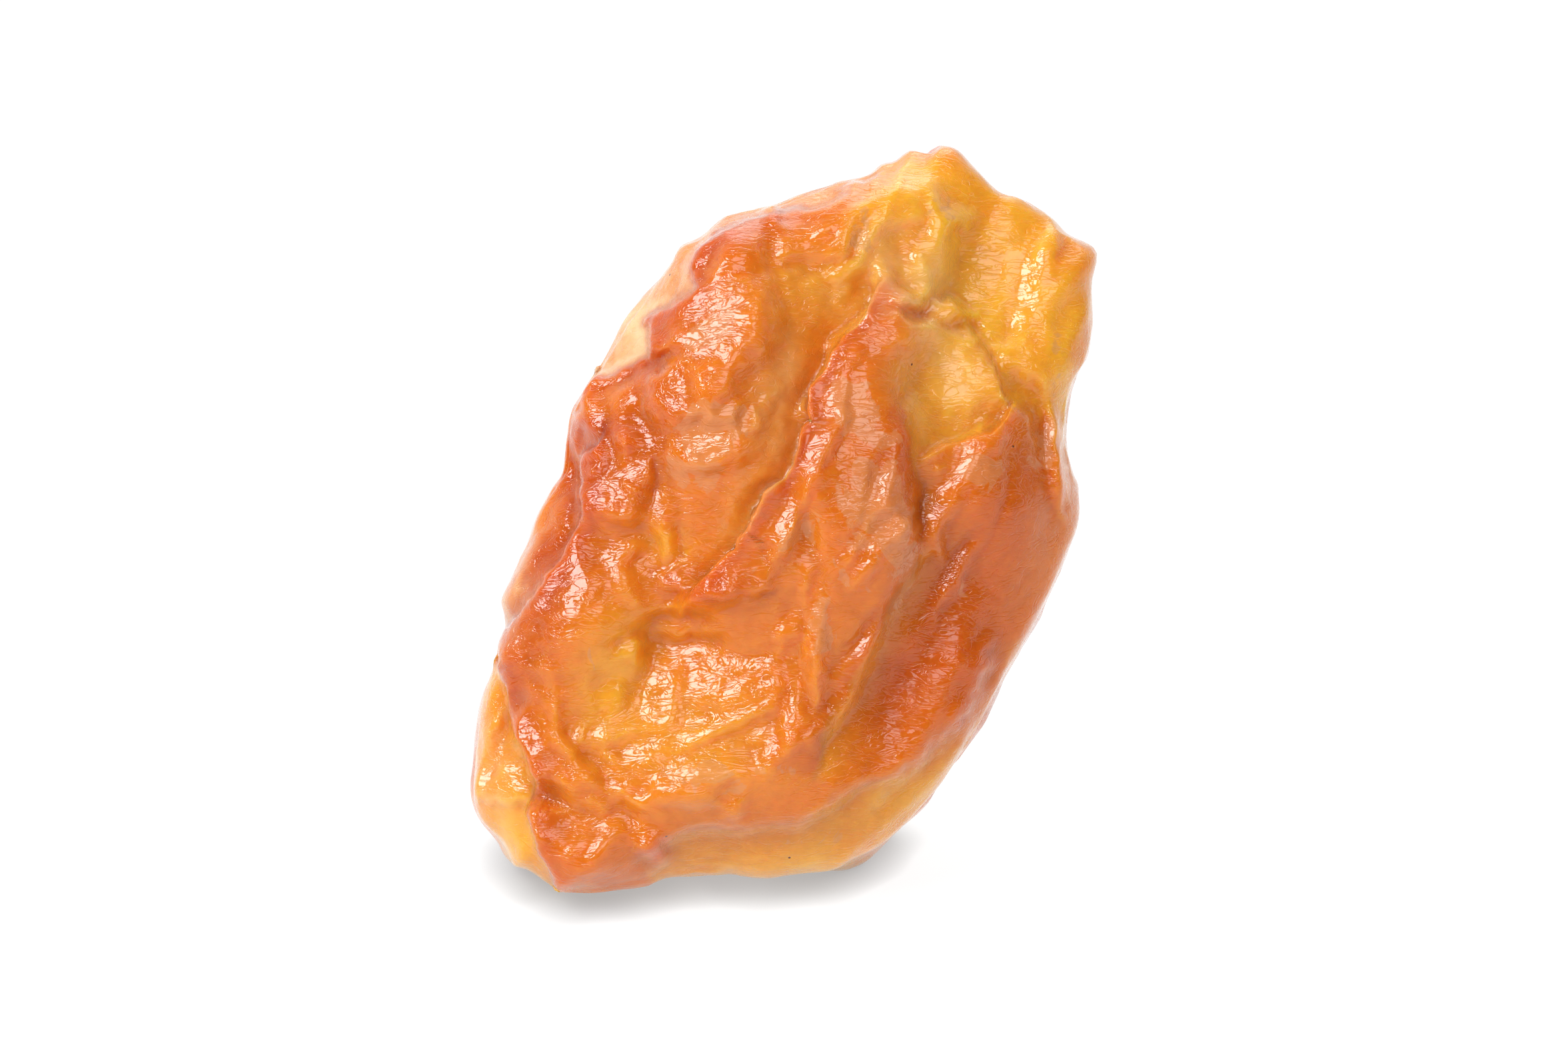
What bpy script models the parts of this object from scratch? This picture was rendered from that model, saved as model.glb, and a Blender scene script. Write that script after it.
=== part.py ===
"""A large golden raisin standing on its broad end, as one solid.

The shape is worked out in the frame of the raisin's broad face: across (to the right), up and out, in millimetres.
The face leans back from upright. It stands on four low pads of skin at z = 0.
"""

import math

import bmesh
import bpy
import numpy as np

MM = 0.001

# The raisin's face
FACE_LEAN = math.radians(20)
HEART = (0.2, 9.6)
SKIN_CUTS = 30
# The body's half thicknesses, at its foot and at its tip
FRONT_DEPTH = (3.3, 3.0)
BACK_DEPTH = (6.3, 3.7)
# Exponents of the body's round, at its foot and at its tip: under 1 is fuller than an ellipsoid
FRONT_FULLNESS = (0.86, 0.86)
BACK_FULLNESS = (0.80, 0.98)
CALM_SHARE = 0.45

# Pads it stands on: across and back on the floor, half width, how far the skin sags there
PADS = [(-5.0, 1.4, 1.3, 0.4), (1.5, 2.6, 1.2, 0.7), (2.7, 5.6, 1.3, 1.7), (-4.4, 5.6, 1.4, 0.6)]
# Height of the skin between the pads, and how softly it turns into them
HOLLOW = 0.35
FLOOR_SOFTNESS = 0.35

# Where the skin turns over, seen square to the face
OUTLINE = [
    (4.3, 19.9), (4.7, 19.7), (5.2, 19.2), (5.8, 18.7), (6.4, 18.5), (7.0, 18.1), (7.5, 17.6), (8.15, 17.1),
    (8.1, 16.3), (8.05, 15.3), (8.0, 14.4), (7.7, 13.8), (7.5, 12.6), (7.65, 11.4), (7.75, 10.2), (7.3, 8.6),
    (6.5, 6.9), (5.5, 5.0), (4.4, 3.3), (3.2, 2.0), (2.2, 1.2), (1.1, 0.75), (0.0, 0.45), (-1.0, 0.45),
    (-1.9, 0.5), (-2.9, 0.45), (-3.5, 0.2), (-4.3, 0.05), (-5.4, 0.0), (-6.1, 0.3), (-6.7, 0.7), (-7.2, 0.9),
    (-7.5, 1.6), (-8.0, 2.2), (-8.2, 2.9), (-8.1, 4.2), (-7.95, 5.2), (-7.6, 6.3), (-7.3, 7.2), (-7.4, 8.0),
    (-7.0, 9.0), (-6.6, 10.0), (-6.1, 11.0), (-5.8, 12.0), (-5.6, 13.0), (-5.0, 14.0), (-4.3, 15.1),
    (-3.5, 16.2), (-2.8, 17.2), (-2.2, 17.6), (-1.5, 18.15), (-0.3, 18.45), (0.9, 18.8), (2.0, 19.15),
    (2.7, 19.45), (3.4, 19.8),
]

# Broad swells (out) and dishes (in) of the front: centre across and up, half widths across and up, turn in
# degrees, height
FRONT_SWELLS = [
    (-1.7, 13.4, 1.8, 3.2, 0, 1.5),
    (-1.0, 17.0, 1.6, 0.9, 20, 0.7),
    (1.6, 17.6, 1.0, 1.2, -35, 0.6),
    (5.0, 16.5, 1.7, 1.5, -20, -1.3),
    (5.4, 19.0, 1.6, 0.5, -35, 0.3),
    (4.6, 13.7, 1.0, 1.3, 0, -0.5),
    (2.0, 10.6, 1.5, 3.4, -12, 1.0),
    (5.6, 10.6, 1.3, 1.7, 15, 0.7),
    (2.9, 5.4, 0.9, 2.2, -20, -0.5),
    (-4.3, 10.6, 0.9, 0.7, 0, 0.5),
    (-4.4, 12.2, 0.6, 0.7, 0, 0.4),
    (-5.2, 7.3, 1.3, 1.6, -25, 0.7),
    (-2.1, 6.2, 1.8, 1.1, 5, -0.55),
    (-3.3, 9.3, 1.3, 0.7, -15, -0.15),
    (0.2, 4.3, 0.5, 0.5, 0, 0.35),
    (-1.6, 3.3, 2.0, 0.7, 8, 0.5),
    (-5.0, 1.2, 1.2, 0.9, 0, 0.8),
    (-7.3, 3.4, 0.5, 0.9, 0, -0.3),
]

# Broad swells and dishes of the back, in the same terms. The two heels carry the raisin.
BACK_SWELLS = [
    (-4.2, 2.6, 2.0, 1.5, 0, 1.3),
    (1.2, 3.0, 2.0, 1.5, 0, 1.3),
    (-3.5, 9.0, 1.4, 3.6, -20, 0.9),
    (-0.6, 8.2, 0.7, 4.6, -24, -0.9),
    (2.4, 9.4, 1.3, 4.0, -25, 0.9),
    (5.0, 11.6, 0.8, 2.8, -18, -0.7),
    (-2.0, 14.0, 1.3, 2.4, -30, 0.4),
    (3.4, 16.2, 1.6, 1.6, 0, -0.9),
    (0.6, 15.6, 0.7, 2.4, -38, -0.5),
]

# Folds where the skin laps over itself: the points of its edge, height, how far behind the edge it fades, and the
# soft length at each end. The raised side is on the left as the points run.
FRONT_LAPS = [
    ([(2.6, 19.5), (1.6, 18.75), (0.9, 18.3), (-0.2, 18.0), (-1.1, 17.8), (-1.9, 17.35), (-2.2, 16.8),
      (-2.3, 16.2), (-2.9, 15.8), (-3.45, 15.3), (-3.6, 14.7), (-3.65, 14.15), (-4.3, 13.9), (-5.0, 13.6),
      (-5.9, 13.1)], 0.8, 2.0, 0.6, 0.2),
    ([(2.75, 16.4), (2.4, 15.7), (1.9, 14.9), (1.3, 14.1), (0.9, 13.4), (0.95, 12.7), (0.5, 12.1), (0.2, 11.2),
      (-0.5, 10.4), (-0.8, 9.7), (-1.4, 8.9), (-2.1, 8.3), (-2.9, 8.2)], 0.9, 2.2, 0.9, 1.5),
    ([(6.0, 12.6), (5.9, 13.3), (5.5, 14.2), (5.0, 15.0), (4.7, 15.5), (4.1, 15.75), (3.3, 16.0), (2.6, 16.4)],
     0.5, 0.8, 0.8, 0.8),
    ([(6.2, 13.1), (5.6, 12.5), (5.0, 12.2), (4.3, 12.1), (3.7, 11.8)], 0.6, 1.1, 0.6, 0.5),
    ([(0.8, 3.4), (1.0, 4.4), (1.6, 5.5), (2.3, 6.7), (2.9, 7.8), (3.35, 8.9), (3.6, 10.2), (3.55, 11.4),
      (3.3, 12.6), (2.8, 13.6)], 0.9, 1.4, 1.4, 1.4),
    ([(-4.6, 12.6), (-4.95, 11.9), (-5.2, 11.0), (-5.1, 10.1), (-5.4, 9.4), (-6.0, 8.7), (-6.5, 8.0),
      (-7.1, 7.3), (-7.5, 6.9)], 0.8, 1.5, 1.2, 0.2),
    ([(-7.7, 6.6), (-7.3, 6.0), (-7.1, 5.0), (-6.8, 4.0), (-6.35, 3.2), (-6.5, 2.4), (-6.4, 1.6), (-6.1, 0.9),
      (-5.8, 0.2)], 0.8, 1.3, 0.4, 0.6),
    ([(-3.9, 1.0), (-3.2, 1.4), (-2.3, 1.8), (-1.3, 1.95), (0.0, 2.1), (0.9, 2.3), (1.6, 2.8), (2.4, 3.1),
      (3.3, 3.5), (4.3, 4.5), (5.3, 6.2), (6.1, 8.2)], 0.9, 2.0, 1.0, 1.5),
    ([(-3.4, 8.7), (-2.8, 8.2), (-1.9, 8.0), (-0.9, 8.0), (0.1, 8.3)], 0.45, 0.9, 0.6, 1.0),
]
BACK_LAPS = [
    ([(-5.6, 3.2), (-5.2, 5.0), (-4.8, 7.0), (-4.2, 8.8), (-3.2, 10.6), (-2.4, 12.4), (-1.2, 14.0), (0.2, 15.2)],
     0.7, 1.6, 1.5, 3.0),
    ([(-2.0, 3.4), (-1.5, 5.4), (-0.4, 7.2), (0.2, 9.0), (1.2, 10.8), (1.9, 12.6), (3.2, 14.0), (4.0, 15.6)],
     0.7, 1.4, 1.5, 2.0),
    ([(6.0, 14.6), (5.3, 12.8), (5.0, 11.0), (4.2, 9.2), (3.8, 7.4), (2.8, 5.8), (2.4, 4.2)], 0.8, 1.4, 1.5, 1.2),
    ([(-6.6, 8.2), (-6.0, 9.6), (-5.2, 11.0), (-4.4, 12.8), (-3.0, 14.4), (-2.0, 16.0)], 0.6, 1.1, 1.0, 1.2),
]

# Ridges (out) and creases (in) along a line: its points, height, half width
FRONT_RIDGES = [
    ([(2.6, 15.9), (2.2, 15.2), (1.75, 14.5), (1.45, 13.6), (1.35, 12.7), (0.9, 11.7), (0.4, 10.9), (0.1, 9.6)],
     0.3, 0.35),
    ([(-7.1, 6.3), (-6.5, 5.7), (-6.15, 5.1), (-5.9, 4.1), (-5.6, 3.5), (-5.1, 3.1), (-4.5, 2.7), (-3.8, 2.6)],
     0.5, 0.3),
    ([(-4.95, 4.3), (-4.8, 3.5), (-4.3, 3.0), (-3.6, 2.85), (-2.4, 2.9)], 0.35, 0.28),
    ([(-0.9, 6.7), (-0.2, 6.45), (0.2, 6.0), (0.25, 5.2), (-0.3, 4.6), (-0.35, 4.0), (0.0, 3.6)], 0.3, 0.25),
    ([(-3.7, 4.1), (-3.0, 4.25), (-2.2, 4.45), (-1.5, 4.75), (-0.9, 5.1), (-0.4, 5.7)], 0.25, 0.25),
    ([(-4.1, 6.9), (-3.9, 5.6), (-3.85, 4.3)], -0.3, 0.25),
    ([(-5.0, 9.9), (-4.7, 9.3), (-4.4, 8.5)], 0.25, 0.22),
    ([(-3.4, 10.9), (-3.05, 10.4), (-3.0, 10.0), (-2.5, 9.7)], 0.3, 0.25),
    ([(-3.2, 14.9), (-3.2, 13.6), (-3.0, 12.0), (-2.9, 11.0), (-2.6, 9.9)], -0.4, 0.3),
    ([(7.1, 17.6), (6.9, 16.9), (6.6, 16.3), (6.0, 15.4)], 0.6, 0.4),
    ([(3.9, 18.5), (4.0, 17.9), (3.4, 17.4), (3.2, 16.8)], 0.35, 0.25),
    ([(2.7, 18.3), (2.4, 17.7), (2.1, 17.1), (1.9, 16.6)], 0.4, 0.3),
    ([(2.4, 16.9), (1.9, 16.3), (2.1, 15.6)], -0.35, 0.25),
    ([(-0.3, 17.9), (0.0, 17.3), (0.1, 16.7), (0.0, 16.2)], 0.4, 0.25),
    ([(-2.4, 16.1), (-1.4, 16.4), (-0.4, 16.5), (0.6, 16.8), (1.3, 17.0)], -0.25, 0.3),
    ([(4.9, 11.7), (4.5, 11.4), (4.3, 10.8), (4.1, 10.2), (3.9, 9.7)], 0.5, 0.3),
    ([(6.3, 13.6), (6.7, 12.9), (6.95, 12.3), (7.05, 11.6), (7.3, 10.9)], 0.5, 0.3),
    ([(5.0, 9.5), (4.4, 8.6), (4.15, 8.0), (3.9, 7.0)], 0.45, 0.3),
    ([(6.0, 12.3), (5.9, 10.6), (5.2, 8.8), (4.9, 7.6)], -0.35, 0.35),
    ([(-7.7, 2.9), (-7.1, 3.1), (-6.8, 2.85), (-6.3, 2.9)], 0.3, 0.22),
    ([(-5.2, 1.5), (-4.8, 1.8), (-4.1, 2.2)], 0.25, 0.22),
    ([(-4.0, 1.9), (-3.6, 1.3), (-3.9, 0.6)], -0.35, 0.22),
    ([(0.75, 8.9), (0.65, 7.4), (0.6, 6.0)], -0.3, 0.3),
    ([(1.9, 12.6), (1.7, 11.2), (1.5, 9.6), (1.6, 8.2)], -0.3, 0.35),
]
BACK_RIDGES = [
    ([(-3.6, 3.0), (-3.2, 5.0), (-2.4, 7.0), (-1.9, 9.2), (-0.9, 11.2), (0.2, 12.8)], 0.4, 0.35),
    ([(0.6, 3.8), (1.2, 5.8), (2.2, 7.8), (2.6, 9.8), (3.6, 11.6)], 0.4, 0.35),
    ([(-1.6, 16.4), (-0.4, 16.9), (1.0, 17.2), (2.4, 17.8)], 0.35, 0.3),
    ([(6.6, 16.6), (5.6, 15.2), (5.0, 13.6)], 0.4, 0.3),
    ([(6.9, 11.8), (6.2, 9.8), (5.2, 7.8), (4.4, 6.2)], 0.4, 0.35),
    ([(-6.9, 5.6), (-6.3, 7.2), (-5.6, 8.4)], 0.35, 0.3),
]

SHARPNESS = 0.6
LAP_EDGE = 0.65
LAP_FOOT = 0.35
FOOT_SHARE = 0.15
# Small wrinkles over all the skin, drawn out along the raisin from its foot to its stem end
LONG_AXIS = math.radians(61)
WRINKLE_SPACING = 2.5
WRINKLE_STRETCH = 3.0
WRINKLE_HEIGHT = {"front": 0.16, "back": 0.8}
CREST_WIDTH = 0.13
WRINKLE_SEED = 23

SKIN_COLOUR = (0.80, 0.21, 0.035, 1.0)
SKIN_ROUGHNESS = 0.35


def smooth_step(value, low, high):
    """0 below low and 1 above high, with a soft turn at both."""
    share = np.clip((value - low) / (high - low), 0, 1)
    return share * share * (3 - 2 * share)


def spline(points, closed=False, steps=8):
    """A Catmull-Rom curve through the points."""
    knots = np.array(points, float)
    if closed:
        knots = np.vstack([knots[-1:], knots, knots[:2]])
    else:
        knots = np.vstack([2 * knots[0] - knots[1], knots, 2 * knots[-1] - knots[-2]])
    t = np.linspace(0, 1, steps, endpoint=False)[:, None]
    stretches = []
    for a, b, c, d in zip(knots[:-3], knots[1:-2], knots[2:-1], knots[3:]):
        stretches.append(
            0.5 * (2 * b + (c - a) * t + (2 * a - 5 * b + 4 * c - d) * t**2 + (3 * b - a - 3 * c + d) * t**3)
        )
    curve = np.vstack(stretches)
    return curve if closed else np.vstack([curve, knots[-2:-1]])


def beside(curve, spots):
    """Each spot's distance from the curve, on its left above 0, and how far along the curve that is."""
    start, run = curve[:-1], np.diff(curve, axis=0)
    length = np.hypot(*run.T)
    offset = spots[:, None, :] - start
    share = np.clip((offset * run).sum(2) / length**2, 0, 1)
    gap = offset - share[..., None] * run
    near = np.argmin((gap**2).sum(2), axis=1)
    rows = np.arange(len(spots))
    side = run[near, 0] * gap[rows, near, 1] - run[near, 1] * gap[rows, near, 0]
    along = np.concatenate([[0], np.cumsum(length)])[near] + share[rows, near] * length[near]
    return np.hypot(*gap[rows, near].T) * np.where(side < 0, -1, 1), along, length.sum()


def noise(spots, seed):
    """Smooth noise from 0 to 1 on a lattice of unit cells."""
    cell = np.floor(spots).astype(np.int64)
    share = spots - cell
    share = share**3 * (share * (share * 6 - 15) + 10)
    total = np.zeros(len(spots))
    for corner in np.ndindex(2, 2, 2):
        x, y, z = (cell + corner).T
        mixed = (x * 374761393 + y * 668265263 + z * 1440662683 + seed * 144665) & 0xFFFFFFFF
        mixed = ((mixed ^ (mixed >> 13)) * 1274126177) & 0xFFFFFFFF
        value = ((mixed ^ (mixed >> 16)) & 0xFFFF) / 65535
        total += value * np.prod(np.where(corner, share, 1 - share), axis=1)
    return total


def turnover(angle, near_edge):
    """The outline's radius about the heart. Towards the middle its small dents fade out."""
    edge = spline(OUTLINE, closed=True) - HEART
    turn = np.arctan2(edge[:, 1], edge[:, 0])
    order = np.argsort(turn)
    turn, radius = turn[order], np.hypot(*edge.T)[order]
    even = np.linspace(-math.pi, math.pi, 360, endpoint=False)
    dented = np.interp(even, turn, radius, period=2 * math.pi)
    waves = np.fft.rfft(dented)
    waves[4:] = 0
    calm = np.fft.irfft(waves, len(even))
    weight = smooth_step(near_edge, CALM_SHARE, 1.0)
    return np.interp(angle, even, dented, period=2 * math.pi) * weight + np.interp(
        angle, even, calm, period=2 * math.pi
    ) * (1 - weight)


def plain_body(directions):
    """The raisin with no folds: a full, flattened ellipsoid on the outline, thicker at its foot."""
    across, up, out = directions.T
    front = out >= 0
    tip_share = smooth_step(up, -0.7, 0.5)
    power = np.where(
        front,
        FRONT_FULLNESS[0] + (FRONT_FULLNESS[1] - FRONT_FULLNESS[0]) * tip_share,
        BACK_FULLNESS[0] + (BACK_FULLNESS[1] - BACK_FULLNESS[0]) * tip_share,
    )
    spread = np.clip(np.hypot(across, up), 0, 1) ** power
    angle = np.arctan2(up, across)
    radius = turnover(angle, spread) * spread
    body = np.column_stack([HEART[0] + radius * np.cos(angle), HEART[1] + radius * np.sin(angle), 0 * out])
    height = np.clip(body[:, 1] / 20, 0, 1)
    depth = np.where(
        front,
        FRONT_DEPTH[0] + (FRONT_DEPTH[1] - FRONT_DEPTH[0]) * height,
        -BACK_DEPTH[0] - (BACK_DEPTH[1] - BACK_DEPTH[0]) * height,
    )
    body[:, 2] = depth * np.abs(out) ** power
    return body


def swells(spots, table):
    """Broad rises and dishes at the spots."""
    rise = np.zeros(len(spots))
    for across, up, half_across, half_up, turn, height in table:
        c, s = math.cos(math.radians(turn)), math.sin(math.radians(turn))
        x, y = (spots - (across, up)).T
        rise += height * np.exp(-(((c * x + s * y) / half_across) ** 2) - ((c * y - s * x) / half_up) ** 2)
    return rise


def laps(spots, table):
    """Folds with a steep edge on one side, which fade into the skin behind them."""
    rise = np.zeros(len(spots))
    for points, height, fade, soft_start, soft_end in table:
        side, along, length = beside(spline(points), spots)
        ends = smooth_step(along, 0, soft_start) * smooth_step(length - along, 0, soft_end)
        edge = smooth_step(side, -LAP_EDGE / 2, LAP_EDGE / 2) * np.exp(-((np.maximum(side, 0) / fade) ** 1.5))
        foot = np.exp(-(((side + LAP_EDGE) / LAP_FOOT) ** 2)) * FOOT_SHARE
        rise += height * ends * (edge - foot)
    return rise


def ridges(spots, table):
    """Narrow rises and creases along lines."""
    rise = np.zeros(len(spots))
    for points, height, half_width in table:
        side, along, length = beside(spline(points), spots)
        ends = smooth_step(along, 0, 0.25 * length) * smooth_step(length - along, 0, 0.25 * length)
        rise += height * ends * np.exp(-((side / half_width) ** 2))
    return rise


def wrinkles(body, back_share):
    """Sharp-crested wrinkles that run the raisin's long way, deeper on its back than on its face and its rim."""
    c, s = math.cos(LONG_AXIS), math.sin(LONG_AXIS)
    along = (body[:, 0] * c + body[:, 1] * s) / WRINKLE_STRETCH
    wander = noise(np.column_stack([body[:, :2] / 4, along]), WRINKLE_SEED) - 0.5
    beside_axis = (body[:, 1] * c - body[:, 0] * s) + 2.2 * wander
    spots = np.column_stack([beside_axis, along, body[:, 2]]) / WRINKLE_SPACING
    swell = noise(spots * 0.8, WRINKLE_SEED + 1) - 0.5
    crest = np.exp(-(((noise(spots, WRINKLE_SEED + 2) - 0.5) / CREST_WIDTH) ** 2))
    height = WRINKLE_HEIGHT["front"] * (1 - back_share) + WRINKLE_HEIGHT["back"] * back_share
    return height * (1.6 * swell + 0.9 * crest - 0.45)


def outward(points, faces):
    """Unit normals at the points of a mesh of four-cornered faces."""
    a, b, c, d = (points[faces[:, i]] for i in range(4))
    flat = np.cross(c - a, d - b)
    total = np.zeros_like(points)
    for i in range(4):
        np.add.at(total, faces[:, i], flat)
    return total / np.linalg.norm(total, axis=1, keepdims=True)


def evened(values, faces):
    """Each point's value averaged over the faces round it."""
    total, count = np.zeros(len(values)), np.zeros(len(values))
    for i in range(4):
        np.add.at(total, faces[:, i], values[faces].mean(1))
        np.add.at(count, faces[:, i], 1)
    return total / count


def folded_skin(directions, faces):
    """The skin's points in the face's frame."""
    body = plain_body(directions)
    out = directions[:, 2]
    front, back = smooth_step(out, -0.05, 0.22), smooth_step(-out, 0.1, 0.6)
    body[:, 2] += front * swells(body[:, :2], FRONT_SWELLS)
    normal = outward(body, faces)
    body += normal * (back * swells(body[:, :2], BACK_SWELLS))[:, None]
    small = wrinkles(body, smooth_step(-out, 0.05, 0.5))
    small += back * (laps(body[:, :2], BACK_LAPS) + ridges(body[:, :2], BACK_RIDGES))
    body += outward(body, faces) * evened(small, faces)[:, None]
    folds = front * (laps(body[:, :2], FRONT_LAPS) + ridges(body[:, :2], FRONT_RIDGES))
    body[:, 2] += SHARPNESS * folds + (1 - SHARPNESS) * evened(folds, faces)
    return body


def stand_on_floor(body):
    """From the face's frame to the floor's: across, back and up, centred, with the pads flat at z = 0."""
    c, s = math.cos(FACE_LEAN), math.sin(FACE_LEAN)
    across, up, out = body.T
    standing = np.column_stack([across, up * s - out * c, up * c + out * s])
    height = standing[:, 2]
    under = 1 - smooth_step(height, 0.8, 3.0)
    near_pads = 0
    for pad_across, pad_back, half_width, sag in PADS:
        near = np.exp(-(((standing[:, :2] - (pad_across, pad_back)) ** 2).sum(1)) / half_width**2)
        height = height - sag * near * under
        near_pads = near_pads + near
    floor = HOLLOW * (1 - smooth_step(near_pads, 0.2, 0.8))
    above = height - floor
    rest = floor + (above + np.hypot(above, FLOOR_SOFTNESS)) / 2 - FLOOR_SOFTNESS / 4
    standing[:, 2] = np.maximum(rest, 0)
    standing[:, :2] -= (standing[:, :2].min(0) + standing[:, :2].max(0)) / 2
    return standing


def round_grid(cuts):
    """A cube cut into an even grid and blown up into a ball, as a mesh."""
    grid = bmesh.new()
    bmesh.ops.create_cube(grid, size=2)
    bmesh.ops.subdivide_edges(grid, edges=grid.edges[:], cuts=cuts, use_grid_fill=True)
    mesh = bpy.data.meshes.new("raisin")
    grid.to_mesh(mesh)
    grid.free()
    return mesh


def skin_material():
    """Amber skin with a soft gloss."""
    material = bpy.data.materials.new("raisin_skin")
    material.use_nodes = True
    shader = material.node_tree.nodes["Principled BSDF"]
    shader.inputs["Base Color"].default_value = SKIN_COLOUR
    shader.inputs["Roughness"].default_value = SKIN_ROUGHNESS
    return material


def raisin():
    """The one solid: a ball whose points are moved to the folded skin."""
    mesh = round_grid(SKIN_CUTS)
    points = np.empty(len(mesh.vertices) * 3)
    mesh.vertices.foreach_get("co", points)
    corners = np.tan(points.reshape(-1, 3) * math.pi / 4)
    directions = corners / np.linalg.norm(corners, axis=1, keepdims=True)
    faces = np.array([face.vertices[:] for face in mesh.polygons])
    # The grid's second axis points up and its third points out, as in the face's frame.
    skin = stand_on_floor(folded_skin(directions, faces)) * MM
    mesh.vertices.foreach_set("co", skin.ravel())
    mesh.materials.append(skin_material())
    mesh.shade_smooth()
    return bpy.data.objects.new("raisin", mesh)


def main():
    for old in list(bpy.data.objects):
        bpy.data.objects.remove(old)
    collection = bpy.data.collections.new("Golden raisin")
    bpy.context.scene.collection.children.link(collection)
    collection.objects.link(raisin())


main()
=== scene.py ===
import math

import bpy
import numpy as np
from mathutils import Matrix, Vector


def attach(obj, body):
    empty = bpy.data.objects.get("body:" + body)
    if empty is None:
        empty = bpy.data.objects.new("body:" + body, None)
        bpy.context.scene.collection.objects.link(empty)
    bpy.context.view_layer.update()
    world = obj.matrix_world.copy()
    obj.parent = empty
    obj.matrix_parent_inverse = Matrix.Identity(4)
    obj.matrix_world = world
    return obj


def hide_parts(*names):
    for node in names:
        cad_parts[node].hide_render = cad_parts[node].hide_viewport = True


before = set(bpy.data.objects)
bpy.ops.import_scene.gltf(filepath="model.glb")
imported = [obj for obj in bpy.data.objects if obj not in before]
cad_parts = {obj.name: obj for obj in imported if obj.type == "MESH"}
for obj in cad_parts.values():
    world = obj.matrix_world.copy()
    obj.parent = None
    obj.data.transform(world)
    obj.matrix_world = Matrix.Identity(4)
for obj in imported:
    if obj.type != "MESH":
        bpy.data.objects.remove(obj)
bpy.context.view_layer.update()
mm = 0.001
print("frame loaded:", sorted(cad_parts))


# Lengths below are in millimetres, in the face's frame: across to the right, up the face, and out of it.

def softStep(value, low, high):  # 0 below low, 1 above high, a smooth turn between
    share = np.clip((value - low) / (high - low), 0, 1)
    return share * share * (3 - 2 * share)


def between(ends, share):  # from the first of two values to the second
    return ends[0] + (ends[1] - ends[0]) * share


# Catmull-Rom: each stretch is a cubic set by its four nearest points
def splineThrough(points, closed=False, steps=8):
    knots = np.array(points, float)
    if closed:
        knots = np.vstack([knots[-1:], knots, knots[:2]])
    else:
        knots = np.vstack([2 * knots[0] - knots[1], knots, 2 * knots[-1] - knots[-2]])
    t = np.linspace(0, 1, steps, endpoint=False)[:, None]
    parts = []
    for a, b, c, d in zip(knots[:-3], knots[1:-2], knots[2:-1], knots[3:]):
        square, cube = 2 * a - 5 * b + 4 * c - d, 3 * b - a - 3 * c + d
        parts.append(0.5 * (2 * b + (c - a) * t + square * t ** 2 + cube * t ** 3))
    curve = np.vstack(parts)
    return curve if closed else np.vstack([curve, knots[-2:-1]])


# Signed distance (left of the run is above 0), way along, whole length, unit left
def besideLine(curve, spots):
    start, run = curve[:-1], np.diff(curve, axis=0)
    length = np.hypot(*run.T)
    offset = spots[:, None, :] - start
    share = np.clip((offset * run).sum(2) / length ** 2, 0, 1)
    gap = offset - share[..., None] * run
    near = np.argmin((gap ** 2).sum(2), axis=1)
    rows = np.arange(len(spots))
    gap = gap[rows, near]
    side = run[near, 0] * gap[:, 1] - run[near, 1] * gap[:, 0]
    along = np.concatenate([[0], np.cumsum(length)])[near] + share[rows, near] * length[near]
    left = np.column_stack([-run[near, 1], run[near, 0]]) / length[near, None]
    return np.hypot(*gap.T) * np.where(side < 0, -1, 1), along, length.sum(), left


def smoothNoise(spots, seed):  # value noise: hashed values on unit cells, mixed with a quintic, 0 to 1
    spots = np.atleast_2d(spots)
    cell = np.floor(spots).astype(np.int64)
    share = spots - cell
    share = share ** 3 * (share * (share * 6 - 15) + 10)
    total = np.zeros(len(spots))
    for corner in np.ndindex(2, 2, 2):
        x, y, z = (cell + corner).T
        mixed = (x * 374761393 + y * 668265263 + z * 1440662683 + seed * 144665) & 0xFFFFFFFF
        mixed = ((mixed ^ (mixed >> 13)) * 1274126177) & 0xFFFFFFFF
        value = ((mixed ^ (mixed >> 16)) & 0xFFFF) / 65535
        total += value * np.prod(np.where(corner, share, 1 - share), axis=1)
    return total


def turned(spots, angle):  # about the third axis, so that noise cells don't line up with the raisin
    c, s = math.cos(angle), math.sin(angle)
    x, y, z = spots.T
    return np.column_stack([c * x + s * y, c * y - s * x, z])


def crestNoise(spots, seed, width):  # 1 on the lines where the noise crosses its middle, 0 away from them
    return np.exp(-(((smoothNoise(spots, seed) - 0.5) / width) ** 2))


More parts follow.
